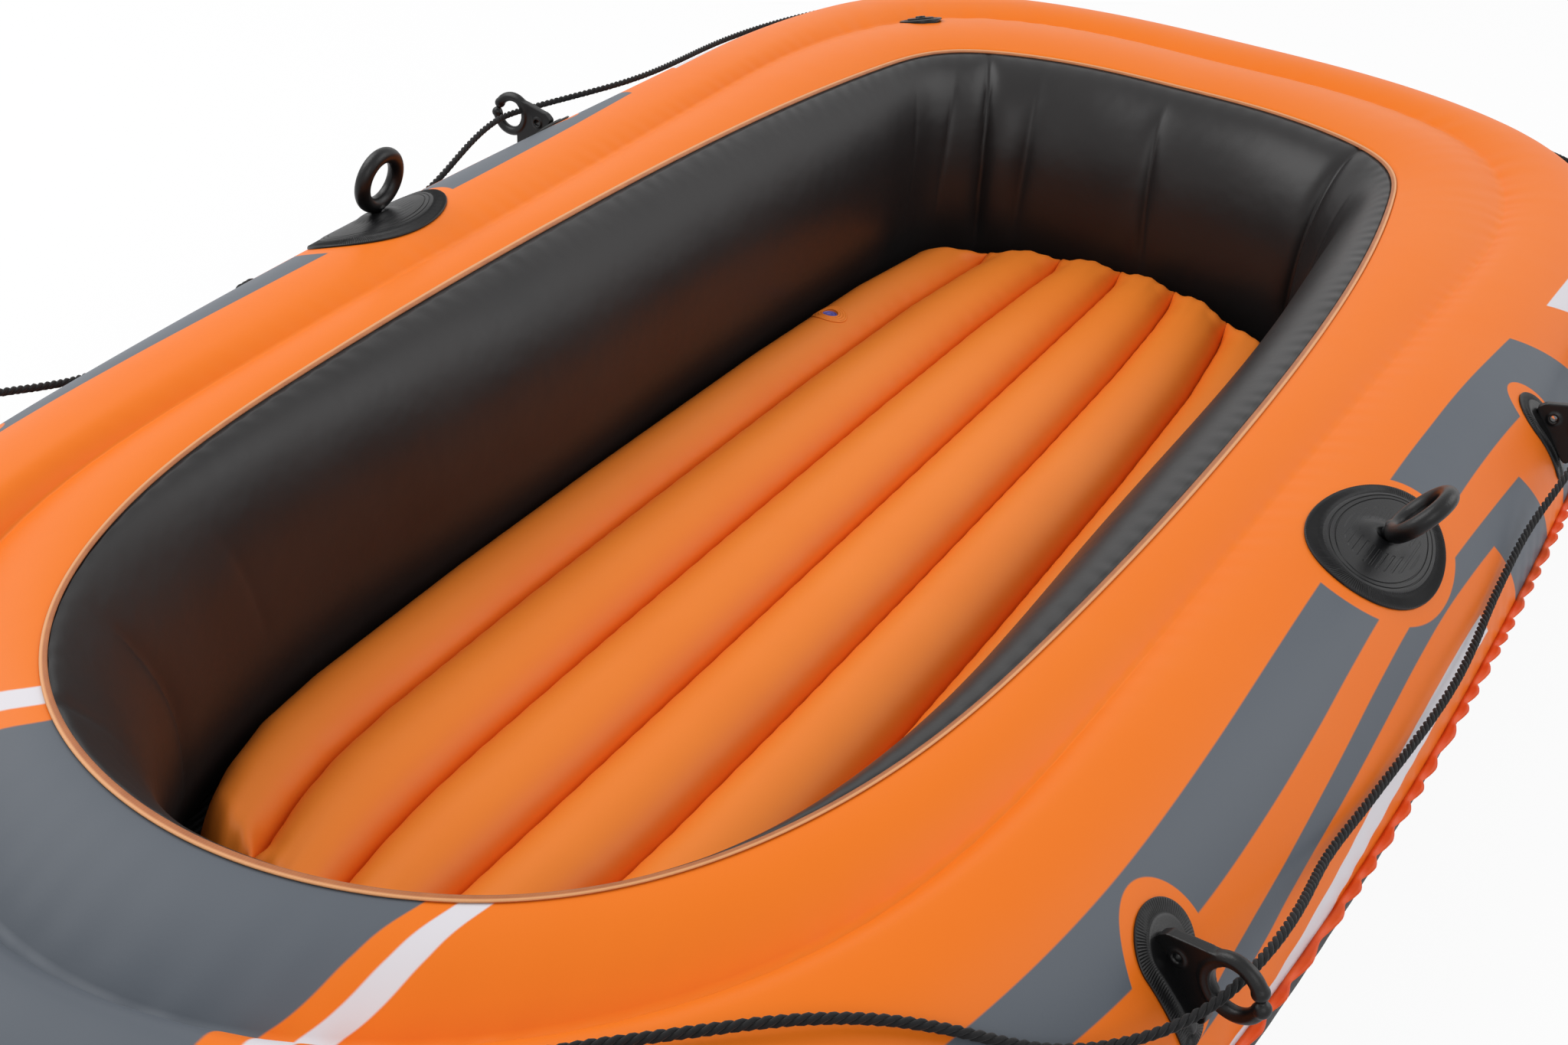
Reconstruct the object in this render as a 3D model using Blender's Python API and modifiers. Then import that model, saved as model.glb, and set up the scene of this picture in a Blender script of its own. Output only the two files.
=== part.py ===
"""Three-chamber inflatable boat: outer tube, inner tube and channelled air floor, with its fittings.

Metres, +Z up. The bow points along +X and port along +Y. The origin is on the ground, under the middle.
"""

import math

import bmesh
import bpy
import numpy as np
from mathutils import Matrix, Vector
from mathutils.bvhtree import BVHTree

# Hull
HULL_LENGTH = 2.325
HULL_WIDTH = 1.15
HULL_HEIGHT = 0.278
HALF_LENGTH = HULL_LENGTH / 2
HALF_WIDTH = HULL_WIDTH / 2
OUTER_TUBE_WIDTH = 0.276
SHEET = 0.0012
WEB_SHEET = 0.001
GAP = 0.0003
SEAM_FLANGE = 0.008
SEAM_THICKNESS = 0.0016
RIM_BAND = 0.012
RIM_BAND_THICKNESS = 0.0008
RIM_BUTT = 0.001
INNER_WALL_SWELL = 0.08
CREASE_ALLOWANCE = 0.0007

# Air floor
FLOOR_CHANNELS = 6
FLOOR_WIDTH = 0.446087 * HULL_WIDTH
FLOOR_STERN = 0.623656 * HALF_LENGTH
FLOOR_BOW = 0.649462 * HALF_LENGTH
FLOOR_CROWN = 0.085
FLOOR_VALLEY = 0.055
FLOOR_END_ROUNDING = 0.045
FLOOR_CRIMP = 0.012

# Fittings on the tube
PAD_THICKNESS = 0.0025
PAD_LIFT = 0.0012
PAD_RUN = 0.02

OARLOCK_X = 0.103226 * HALF_LENGTH
OARLOCK_RISE = math.radians(69.5)
OARLOCK_PAD_LENGTH = 0.168
OARLOCK_PAD_DEPTH = 0.112
OARLOCK_RING_RADIUS = 0.024
OARLOCK_RING_TUBE = 0.0065
OARLOCK_RING_HEIGHT = 0.0295
OARLOCK_NECK_RADIUS = 0.005
OARLOCK_BALL_RADIUS = 0.006
OARLOCK_BALL_CLEARANCE = 0.0004
OARLOCK_BOSS_RADIUS = 0.017
OARLOCK_BOSS_TOP_RADIUS = 0.0125
OARLOCK_BOSS_HEIGHT = 0.006
OARLOCK_LIP_DROP = 0.003
OARLOCK_LEAN_PORT = math.radians(40)
OARLOCK_LEAN_STARBOARD = math.radians(-8)

CLIP_FORE_X = 0.498065 * HALF_LENGTH
CLIP_AFT_X = -0.215054 * HALF_LENGTH
CLIP_RISE = math.radians(39)
CLIP_PAD_LENGTH = 0.088
CLIP_PAD_WIDTH = 0.052
CLIP_PAD_TAIL = 0.012
CLIP_RING_RADIUS = 0.0185
CLIP_RING_TUBE = 0.005
CLIP_RING_HEIGHT = 0.036
CLIP_RING_DROP = 0.009
CLIP_GAP_ANGLE = math.radians(34)
CLIP_GAP_RISE = math.radians(60)
CLIP_BORE_SHARE = 0.9
CLIP_WEB_SHARE = 0.5
CLIP_BODY_THICKNESS = 0.008
CLIP_BODY_REACH = 0.024
CLIP_BODY_TAIL = 0.026
CLIP_EYE_RADIUS = 0.003

GUIDE_PAD_LENGTH = 0.06
GUIDE_PAD_WIDTH = 0.03
GUIDE_ARCH_RADIUS = 0.0145
GUIDE_ARCH_TUBE = 0.0035
GUIDE_RISE = math.radians(40)
GUIDE_STERN_X = -0.976086 * (HALF_LENGTH - OUTER_TUBE_WIDTH / 2)
GUIDE_BOW_RISE = math.radians(56)

ROPE_DIAMETER = 0.007
ROPE_STANDOFF = 0.012
ROPE_LIFT = 0.0035
ROPE_IN_GUIDE = 0.0057
ROPE_STEP = 0.075
ROPE_STRAIGHT = 0.014
KNOT_LENGTH = 0.026
KNOT_RADIUS = 0.0095
KNOT_WRAPS = 3
KNOT_GROOVE = ROPE_DIAMETER / 4
KNOT_SIDES = 12
KNOT_WRAP_SHARES = (0.25, 0.75)

# Air valves on the tubes
VALVE_FLANGE_RADIUS = 0.026
VALVE_FLANGE_THICKNESS = 0.0022
VALVE_LIFT = 0.0006
VALVE_WELL_RADIUS = 0.021
VALVE_WALL = 0.0016
VALVE_DEPTH = 0.02
VALVE_CLEARANCE = 0.0005
VALVE_RIM_WIDTH = 0.0055
VALVE_BODY_FLOOR = 0.0025
VALVE_MEMBRANE = 0.0008
VALVE_PORT_RADIUS = 0.009
CAP_THICKNESS = 0.002
CAP_PLUG_DEPTH = 0.0025
CAP_CLEARANCE = 0.0008
CAP_STRAP_WIDTH = 0.008
CAP_BUTTON_RADIUS = 0.006
CAP_BUTTON_HEIGHT = 0.002
INNER_VALVE_X = -0.685591 * HALF_LENGTH
INNER_VALVE_Y = -0.586087 * HALF_WIDTH
OUTER_VALVE_X = 0.748387 * HALF_LENGTH
OUTER_VALVE_Y = -0.6 * HALF_WIDTH

# Small valve of the air floor
FLOOR_VALVE_X = -0.475862 * FLOOR_STERN
FLOOR_VALVE_RADIUS = 0.0085
FLOOR_VALVE_DEPTH = 0.022
FLOOR_VALVE_WALL = 0.0018
FLOOR_VALVE_SINK = 0.001
FLOOR_PLUG_HEAD = 0.0015
FLOOR_PLUG_LENGTH = 0.01

OVERRUN = 0.01
MERGE = 0.00001

STATIONS_A_SPAN = 3
CROWN_STEPS = 9
BOWL_STEPS = 7
WALL_STEPS = 7
BAND_STEPS = 3
ROUND_SIDES = 20
SEAM_RISE = math.radians(6)
WALL_FOOT_TURN = math.radians(70)

# Outlines of one half from bow to stern, as shares of the half length and the half beam
RIM_SHARES = (
    (0.761, 0), (0.720, 0.264), (0.580, 0.459), (0.357, 0.537), (0.034, 0.565),
    (-0.310, 0.555), (-0.516, 0.515), (-0.632, 0.417), (-0.677, 0.200), (-0.682, 0),
)
CREASE_SHARES = (
    (0.845, 0), (0.802, 0.275), (0.655, 0.534), (0.396, 0.631), (0.034, 0.663),
    (-0.344, 0.703), (-0.602, 0.692), (-0.770, 0.536), (-0.828, 0.270), (-0.830, 0),
)
OUTER_SHARES = (
    (1, 0), (0.951, 0.409), (0.753, 0.765), (0.430, 0.927), (0.017, 0.984),
    (-0.361, 1), (-0.688, 0.962), (-0.899, 0.757), (-0.985, 0.383), (-1, 0),
)
# How far the crease lies under the rim, as shares of the hull's height
CREASE_DEPTH_SHARES = (0.12, 0.11, 0.07, 0.035, 0.025, 0.025, 0.028, 0.036, 0.04, 0.04)
BAND_SWELL_SHARE = 0.08

# Air floor: half width along the length, and how far each line of channels reaches
FLOOR_PLACE_SHARES = (-1, -0.81, -0.62, -0.3, 0.14, 0.4, 0.66, 0.82, 0.93, 1)
FLOOR_WIDTH_SHARES = (0.8, 0.91, 0.975, 1, 1, 0.975, 0.866, 0.74, 0.62, 0.5)
FLOOR_LINE_SHARES = (0, 0.17, 0.5, 0.83, 1)
FLOOR_STERN_SHARES = (1, 1, 0.966, 0.883, 0.828)
FLOOR_BOW_SHARES = (1, 1, 0.954, 0.795, 0.70)
CHANNEL_SHARES = (0, 0.07, 0.24, 0.5, 0.76, 0.93)
END_SHARES = (0, 0.04, 0.16, 0.42, 1)
FLOOR_MIDDLE_SHARES = (0.35, 0.65)

# The rope's places: x of the half length and rise of a quarter turn beside the tube, plan over the bow
ROPE_BOW_SHARES = ((0.81, 0.39), (0.747, 0.514), (0.688, 0.64), (0.635, 0.765))
ROPE_SIDE_SHARES = ((0.36, 0.33), (0.15, 0.28), (-0.06, 0.34))
ROPE_QUARTER_SHARES = ((-0.36, 0.5), (-0.52, 0.46), (-0.68, 0.46), (-0.8, 0.46))
# From the stern guide to the middle of the stern: share of that run and rise of a quarter turn
ROPE_STERN_SHARES = ((0.3, 0.42), (0.65, 0.36))
ROPE_STERN_MIDDLE_SHARE = 0.33
KNOT_X_SHARE = 0.2

ORANGE = (0.86, 0.21, 0.035)
BLACK = (0.02, 0.02, 0.022)
SMOKE = (0.06, 0.06, 0.065)
BROWN = (0.25, 0.1, 0.05)
ROPE_BLACK = (0.015, 0.015, 0.017)
PLUG_BLUE = (0.16, 0.17, 0.42)


def clear_scene():
    for obj in list(bpy.data.objects):
        bpy.data.objects.remove(obj, do_unlink=True)


def new_collection(name):
    collection = bpy.data.collections.new(name)
    bpy.context.scene.collection.children.link(collection)
    return collection


def finish_material(obj, colour, roughness):
    material = bpy.data.materials.new(obj.name)
    material.use_nodes = True
    shader = material.node_tree.nodes["Principled BSDF"]
    shader.inputs["Base Color"].default_value = (*colour, 1)
    shader.inputs["Roughness"].default_value = roughness
    shader.inputs["Metallic"].default_value = 0
    obj.data.materials.append(material)


def object_of(name, mesh_builder, collection, place=None):
    """Makes a mesh object from a bmesh, smooth but for its sharp edges."""
    mesh = bpy.data.meshes.new(name)
    mesh_builder.to_mesh(mesh)
    mesh_builder.free()
    mesh.shade_smooth()
    mesh.set_sharp_from_angle(angle=math.radians(40))
    obj = bpy.data.objects.new(name, mesh)
    collection.objects.link(obj)
    if place is not None:
        obj.matrix_world = place
    return obj


def thicken(obj, thickness, side):
    solidify = obj.modifiers.new("Thickness", "SOLIDIFY")
    solidify.thickness = thickness
    solidify.offset = side
    solidify.use_even_offset = True
    solidify.use_quality_normals = True


def boolean(obj, other, operation):
    change = obj.modifiers.new(operation.title(), "BOOLEAN")
    change.operation = operation
    change.object = other
    change.solver = "EXACT"


def as_tool(obj):
    obj.hide_render = True
    obj.display_type = "WIRE"
    return obj


def apply_modifiers(obj):
    """Replaces an object's mesh by its evaluated one, so that it can be mirrored or copied."""
    graph = bpy.context.evaluated_depsgraph_get()
    mesh = bpy.data.meshes.new_from_object(obj.evaluated_get(graph))
    obj.modifiers.clear()
    obj.data = mesh


# The hull's lines


def closed_spline(knots, values):
    """A smooth closed curve through values at knots; the last knot is the start again."""
    steps = np.diff(knots)
    count = len(values)
    matrix = np.zeros((count, count))
    right = np.zeros_like(values)
    for i in range(count):
        after = (i + 1) % count
        matrix[i, i - 1] += steps[i - 1]
        matrix[i, i] += 2 * (steps[i - 1] + steps[i])
        matrix[i, after] += steps[i]
        rise = (values[after] - values[i]) / steps[i]
        right[i] = 6 * (rise - (values[i] - values[i - 1]) / steps[i - 1])
    bends = np.linalg.solve(matrix, right)

    def at(knot):
        span = min(int(np.searchsorted(knots, knot, side="right")) - 1, count - 1)
        after = (span + 1) % count
        step = steps[span]
        ahead = (knot - knots[span]) / step
        behind = 1 - ahead
        straight = behind * values[span] + ahead * values[after]
        bend = (behind**3 - behind) * bends[span] + (ahead**3 - ahead) * bends[after]
        return straight + bend * step**2 / 6

    return at


def whole_outline(shares):
    """Half an outline's shares made the whole closed outline in metres."""
    half = [(x * HALF_LENGTH, y * HALF_WIDTH) for x, y in shares]
    other = [(x, -y) for x, y in reversed(half[1:-1])]
    return np.array(half + other)


class HullLines:
    """Rim, crease and outer seam round the hull, and the tube's section at any station."""

    def __init__(self):
        crease = whole_outline(CREASE_SHARES)
        depths = np.array(CREASE_DEPTH_SHARES + CREASE_DEPTH_SHARES[-2:0:-1]) * HULL_HEIGHT
        values = np.column_stack(
            [whole_outline(RIM_SHARES), crease, whole_outline(OUTER_SHARES), depths]
        )
        spans = np.linalg.norm(np.roll(crease, -1, axis=0) - crease, axis=1)
        self.knots = np.concatenate([[0], np.cumsum(spans)])
        self.curve = closed_spline(self.knots, values)

    def stations(self, per_span):
        """Knot values round the hull, starting at the bow and going by port."""
        inner = np.arange(per_span) / per_span
        return [k + s * (n - k) for k, n in zip(self.knots, self.knots[1:]) for s in inner]

    def section(self, knot):
        values = self.curve(knot % self.knots[-1])
        return Section(values)


class Section:
    """One station: plan points of the rim, the crease and the outer tube, and curves up and down."""

    def __init__(self, values):
        self.rim = Vector(values[0:2])
        self.crease = Vector(values[2:4])
        outer = Vector(values[4:6])
        self.across = (self.crease - self.rim).normalized()
        self.band = (self.crease - self.rim).length
        self.out = (outer - self.crease).normalized()
        self.half = OUTER_TUBE_WIDTH / 2
        self.middle = HULL_HEIGHT / 2
        self.centre = outer - self.out * (SEAM_FLANGE + self.half)
        self.crease_height = HULL_HEIGHT - values[6]

    def band_point(self, share):
        """From the rim at 0 to the crease at 1, a little swollen."""
        plan = self.rim + self.across * (self.band * share)
        height = HULL_HEIGHT + (self.crease_height - HULL_HEIGHT) * share
        swell = 4 * BAND_SWELL_SHARE * self.band * share * (1 - share)
        return Vector((plan.x, plan.y, height + swell))

    def crown_point(self, share):
        """From the crease at 0 over the top of the tube to the widest place at 1."""
        fall = math.acos((self.crease_height - self.middle) / self.middle)
        inner = (self.centre - self.crease).dot(self.out) / math.sin(fall)
        turn = -fall + share * (math.pi / 2 + fall)
        reach = (self.half if turn > 0 else inner) * math.sin(turn)
        plan = self.centre + self.out * reach
        return Vector((plan.x, plan.y, self.middle * (1 + math.cos(turn))))

    def crown_share(self, height):
        """Share of the crown where its outer side comes down to a height."""
        fall = math.acos((self.crease_height - self.middle) / self.middle)
        turn = math.acos((height - self.middle) / self.middle)
        return (turn + fall) / (math.pi / 2 + fall)

    def bowl_point(self, turn):
        """Under the widest place: turn 0 there, a quarter turn at the tube's lowest line."""
        plan = self.centre + self.out * (self.half * math.cos(turn))
        return Vector((plan.x, plan.y, self.middle * (1 - math.sin(turn))))

    def flange_point(self, inside, height):
        """A point of the seam, measured outward from the tube's widest place."""
        plan = self.centre + self.out * (self.half + inside)
        return Vector((plan.x, plan.y, height))

    def wall_point(self, turn, foot):
        """Inner wall: a quarter turn at the rim, and less down to its foot on the bottom sheet."""
        half = (HULL_HEIGHT - foot) / (1 + math.sin(WALL_FOOT_TURN))
        reach = -INNER_WALL_SWELL * math.cos(turn) - RIM_BUTT
        plan = self.rim + self.across * reach
        return Vector((plan.x, plan.y, HULL_HEIGHT - half * (1 - math.sin(turn))))


def spread(start, end, steps):
    return [start + (end - start) * i / steps for i in range(steps + 1)]


def loft(rows, cap=False):
    """A sheet through rows of points that all run round the hull; cap closes the last row."""
    sheet = bmesh.new()
    rings = [[sheet.verts.new(point) for point in row] for row in rows]
    count = len(rings[0])
    for near, far in zip(rings, rings[1:]):
        for i in range(count):
            after = (i + 1) % count
            sheet.faces.new((near[i], far[i], far[after], near[after]))
    if cap:
        sheet.faces.new(rings[-1][::-1])
    bmesh.ops.triangulate(sheet, faces=[f for f in sheet.faces if len(f.verts) == 4])
    return sheet


def top_rows(sections, seam_height):
    rows = [[s.band_point(share) for s in sections] for share in spread(0, 1, BAND_STEPS)]
    for step in range(1, CROWN_STEPS + 1):
        part = step / CROWN_STEPS
        rows.append([s.crown_point(part * s.crown_share(seam_height)) for s in sections])
    return rows


def bottom_rows(sections, seam_height):
    middle = HULL_HEIGHT / 2
    start = -math.asin((seam_height - middle) / middle)
    turns = spread(start, math.pi / 2, BOWL_STEPS)
    return [[s.bowl_point(turn) for s in sections] for turn in turns]


def make_hull(lines, parts):
    sections = [lines.section(knot) for knot in lines.stations(STATIONS_A_SPAN)]
    middle = HULL_HEIGHT / 2
    seam = middle * (1 + math.sin(SEAM_RISE))
    seam_half = SEAM_THICKNESS / 2 + GAP

    top = loft(top_rows(sections, seam + seam_half))
    bottom = loft(bottom_rows(sections, seam - seam_half), cap=True)
    tree = BVHTree.FromBMesh(loft(top_rows(sections, seam)))
    low_tree = BVHTree.FromBMesh(bottom)

    top_sheet = object_of("top_sheet", top, parts)
    thicken(top_sheet, SHEET, -1)
    finish_material(top_sheet, ORANGE, 0.35)

    bottom_sheet = object_of("bottom_sheet", bottom, parts)
    thicken(bottom_sheet, SHEET, -1)
    finish_material(bottom_sheet, BLACK, 0.35)

    foot = SHEET + GAP
    turns = spread(-WALL_FOOT_TURN, math.pi / 2, WALL_STEPS)
    wall_rows = [[s.wall_point(turn, foot) for s in sections] for turn in turns]
    inner_wall = object_of("inner_wall", loft(wall_rows), parts)
    thicken(inner_wall, SHEET, -1)
    finish_material(inner_wall, SMOKE, 0.3)

    web_rows = []
    for height in (None, foot):
        row = []
        for s in sections:
            top_height = s.crease_height - SHEET - CREASE_ALLOWANCE
            row.append(Vector((s.crease.x, s.crease.y, height or top_height)))
        web_rows.append(row)
    divider = object_of("chamber_divider", loft(web_rows), parts)
    thicken(divider, WEB_SHEET, 0)
    finish_material(divider, SMOKE, 0.5)

    half_band = RIM_BAND / 2
    band_rows = []
    for reach in (-half_band, 0, half_band):
        row = []
        for s in sections:
            rise = 4 * BAND_SWELL_SHARE * max(reach, 0)
            plan = s.rim + s.across * reach
            row.append(Vector((plan.x, plan.y, HULL_HEIGHT + GAP + rise)))
        band_rows.append(row)
    rim_seam = object_of("rim_seam", loft(band_rows), parts)
    thicken(rim_seam, RIM_BAND_THICKNESS, 1)
    finish_material(rim_seam, BROWN, 0.4)

    flange_rows = [
        [s.flange_point(inside, seam) for s in sections] for inside in (-SHEET, SEAM_FLANGE)
    ]
    outer_seam = object_of("outer_seam", loft(flange_rows), parts)
    thicken(outer_seam, SEAM_THICKNESS, 0)
    finish_material(outer_seam, ORANGE, 0.4)
    return top_sheet, tree, low_tree


# The air floor


def floor_end(line, reach, shares):
    """How far a line of the air floor runs, with a notch at each weld between channels."""
    whole = reach * float(np.interp(abs(line), FLOOR_LINE_SHARES, shares))
    place = (line + 1) / 2 * FLOOR_CHANNELS
    return whole - FLOOR_CRIMP * abs(math.cos(math.pi * place)) ** 3


def floor_height(line, past_end):
    """Height of the air floor on one line, this far in from its end."""
    place = (line + 1) / 2 * FLOOR_CHANNELS
    across = 2 * (place - math.floor(place)) - 1
    round_share = math.sqrt(max(1 - across**2, 0))
    outermost = abs(line) > 1 - 1 / FLOOR_CHANNELS
    valley = 0 if outermost else FLOOR_VALLEY
    height = valley + (FLOOR_CROWN - valley) * round_share
    end_share = 1 - min(past_end / FLOOR_END_ROUNDING, 1)
    return height * math.sqrt(1 - end_share**2)


def make_floor(parts):
    lines = [(c + s) / FLOOR_CHANNELS * 2 - 1 for c in range(FLOOR_CHANNELS) for s in CHANNEL_SHARES]
    lines.append(1)
    places = [share * FLOOR_END_ROUNDING for share in END_SHARES]
    base = SHEET + GAP
    builder = bmesh.new()
    grid = []
    for line in lines:
        stern = -floor_end(line, FLOOR_STERN, FLOOR_STERN_SHARES)
        bow = floor_end(line, FLOOR_BOW, FLOOR_BOW_SHARES)
        ends = [(stern + place, place) for place in places]
        long = [(stern + share * (bow - stern), FLOOR_END_ROUNDING) for share in FLOOR_MIDDLE_SHARES]
        others = [(bow - place, place) for place in reversed(places)]
        row = []
        for x, inside in ends + long + others:
            reach = FLOOR_STERN if x < 0 else FLOOR_BOW
            width = float(np.interp(x / reach, FLOOR_PLACE_SHARES, FLOOR_WIDTH_SHARES))
            edge = abs(line) == 1
            height = 0 if edge else floor_height(line, inside)
            row.append(builder.verts.new((x, line * width * FLOOR_WIDTH / 2, base + height)))
        grid.append(row)
    for near, far in zip(grid, grid[1:]):
        for i in range(len(near) - 1):
            builder.faces.new((near[i], near[i + 1], far[i + 1], far[i]))
    first = grid[0]
    last = grid[-1]
    stern_side = [row[0] for row in grid[1:-1]]
    bow_side = [row[-1] for row in grid[1:-1]]
    builder.faces.new(first[::-1] + stern_side + last + bow_side[::-1])
    bmesh.ops.recalc_face_normals(builder, faces=builder.faces)
    bmesh.ops.triangulate(builder, faces=builder.faces)
    mattress = object_of("floor_mattress", builder, parts)
    finish_material(mattress, ORANGE, 0.4)
    return mattress


# Pads welded to the tube, and what stands on them


class TubeSurface:
    """Places on the outer tube: a distance along its centre line and a rise above its widest line."""

    def __init__(self, lines, tree, low_tree):
        self.lines = lines
        self.trees = (tree, low_tree)
        self.knots = lines.stations(8) + [lines.knots[-1]]
        centres = [lines.section(knot).centre for knot in self.knots]
        steps = [(b - a).length for a, b in zip(centres, centres[1:])]
        self.lengths = np.concatenate([[0], np.cumsum(steps)])
        self.centres = centres

    def along_at_x(self, x):
        """Distance along the port side where the centre line passes an x."""
        half = len(self.centres) // 2
        places = [centre.x for centre in self.centres[: half + 1]]
        return float(np.interp(-x, [-place for place in places], self.lengths[: half + 1]))

    def centre_and_ray(self, along, rise):
        knot = float(np.interp(along % self.lengths[-1], self.lengths, self.knots))
        section = self.lines.section(knot)
        centre = Vector((section.centre.x, section.centre.y, section.middle))
        out = Vector((section.out.x, section.out.y, 0))
        return centre, out * math.cos(rise) + Vector((0, 0, math.sin(rise)))

    def point(self, along, rise, lift):
        centre, ray = self.centre_and_ray(along, rise)
        hits = [tree.ray_cast(centre, ray)[0] for tree in self.trees]
        return next(hit for hit in hits if hit is not None) + ray * lift

    def frame(self, along, rise, lift):
        """A frame on the surface: X along the tube, Y down its outer side, Z out of it."""
        origin = self.point(along, rise, lift)
        _, ray = self.centre_and_ray(along, rise)
        ahead = self.point(along - PAD_RUN, rise, lift) - self.point(along + PAD_RUN, rise, lift)
        x_axis = (ahead - ray * ahead.dot(ray)).normalized()
        y_axis = ray.cross(x_axis)
        turn = Matrix((x_axis, y_axis, ray)).transposed().to_4x4()
        return Matrix.Translation(origin) @ turn


def round_outline(circles, sides):
    """The outline that a band would take round circles, each (x, y, radius)."""
    points = []
    for i in range(sides):
        angle = 2 * math.pi * i / sides
        out = Vector((math.cos(angle), math.sin(angle)))
        x, y, radius = max(circles, key=lambda c: c[0] * out.x + c[1] * out.y + c[2])
        points.append(Vector((x, y)) + out * radius)
    fine = []
    for a, b in zip(points, points[1:] + points[:1]):
        steps = max(1, math.ceil((b - a).length / PAD_RUN))
        fine += [a.lerp(b, step / steps) for step in range(steps)]
    return fine


def pad(name, surface, along, rise, outline, rings, collection):
    """A thin pad that follows the tube; the outline's x runs forward and its y down the side."""
    builder = bmesh.new()

    def place(point):
        turn = rise - point.y / (OUTER_TUBE_WIDTH / 2)
        return surface.point(along - point.x, turn, PAD_LIFT)

    heart = sum(outline, Vector((0, 0))) / len(outline)
    middle = builder.verts.new(place(heart))
    loops = [
        [builder.verts.new(place(heart.lerp(point, (ring + 1) / rings))) for point in outline]
        for ring in range(rings)
    ]
    count = len(outline)
    for i in range(count):
        after = (i + 1) % count
        builder.faces.new((middle, loops[0][i], loops[0][after]))
        for near, far in zip(loops, loops[1:]):
            builder.faces.new((near[i], far[i], far[after], near[after]))
    bmesh.ops.recalc_face_normals(builder, faces=builder.faces)
    _, ray = surface.centre_and_ray(along, rise)
    builder.normal_update()
    if middle.normal.dot(ray) < 0:
        bmesh.ops.reverse_faces(builder, faces=builder.faces)
    bmesh.ops.triangulate(builder, faces=builder.faces)
    obj = object_of(name, builder, collection)
    thicken(obj, PAD_THICKNESS, 1)
    return obj


def turned(name, profile, collection, place, closed=False, sides=ROUND_SIDES):
    """A turned piece: radius and height pairs, down its outer side, made round by a Screw modifier."""
    builder = bmesh.new()
    verts = [builder.verts.new((radius, 0, height)) for radius, height in profile]
    pairs = list(zip(verts, verts[1:])) + ([(verts[-1], verts[0])] if closed else [])
    for pair in pairs:
        builder.edges.new(pair)
    obj = object_of(name, builder, collection, place)
    screw = obj.modifiers.new("Turn", "SCREW")
    screw.steps = sides
    screw.render_steps = sides
    screw.use_merge_vertices = True
    screw.merge_threshold = MERGE
    return obj


def cylinder(name, radius, top, bottom, collection, place, top_radius=None):
    """A plain round bar or cone between two heights of a frame."""
    builder = bmesh.new()
    bmesh.ops.create_cone(
        builder, cap_ends=True, segments=ROUND_SIDES, radius1=radius,
        radius2=radius if top_radius is None else top_radius, depth=top - bottom,
        matrix=Matrix.Translation((0, 0, (top + bottom) / 2)),
    )
    return object_of(name, builder, collection, place)


def move_origin(obj, place):
    """Gives a finished piece a new origin and axes, with its shape left where it is."""
    obj.data.transform(place.inverted() @ obj.matrix_world)
    obj.matrix_world = place


def mirrored(obj, name, collection):
    """The starboard twin of a finished port piece."""
    mesh = obj.data.copy()
    mesh.transform(Matrix.Diagonal((1, -1, 1, 1)) @ obj.matrix_world)
    mesh.flip_normals()
    twin = bpy.data.objects.new(name, mesh)
    collection.objects.link(twin)
    return twin


def make_oarlock_base(surface, parts, tools):
    along = surface.along_at_x(OARLOCK_X)
    # an ellipse, as the band round a row of circles
    length, depth = OARLOCK_PAD_LENGTH / 2, OARLOCK_PAD_DEPTH / 2
    focus = length**2 - depth**2
    circles = [(x, 0, depth * math.sqrt(1 - x**2 / focus)) for x in (focus / length * i / 3 for i in range(-3, 4))]
    outline = round_outline(circles, 24)
    base = pad("oarlock_base_port", surface, along, OARLOCK_RISE, outline, 3, parts)
    frame = surface.frame(along, OARLOCK_RISE, PAD_LIFT + PAD_THICKNESS)
    boss = as_tool(
        cylinder(
            "oarlock_boss", OARLOCK_BOSS_RADIUS, OARLOCK_BOSS_HEIGHT - OARLOCK_LIP_DROP,
            -PAD_THICKNESS / 2, tools, frame, OARLOCK_BOSS_TOP_RADIUS,
        )
    )
    builder = bmesh.new()
    socket_radius = OARLOCK_BALL_RADIUS + OARLOCK_BALL_CLEARANCE
    bmesh.ops.create_uvsphere(builder, u_segments=ROUND_SIDES, v_segments=10, radius=socket_radius)
    socket_place = frame @ Matrix.Translation((0, 0, OARLOCK_BOSS_HEIGHT))
    socket = as_tool(object_of("oarlock_socket", builder, tools, socket_place))
    boolean(base, boss, "UNION")
    boolean(base, socket, "DIFFERENCE")
    apply_modifiers(base)
    finish_material(base, BLACK, 0.45)
    twin = mirrored(base, "oarlock_base_starboard", parts)
    twin.data.materials.clear()
    finish_material(twin, BLACK, 0.45)
    return socket_place


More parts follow.
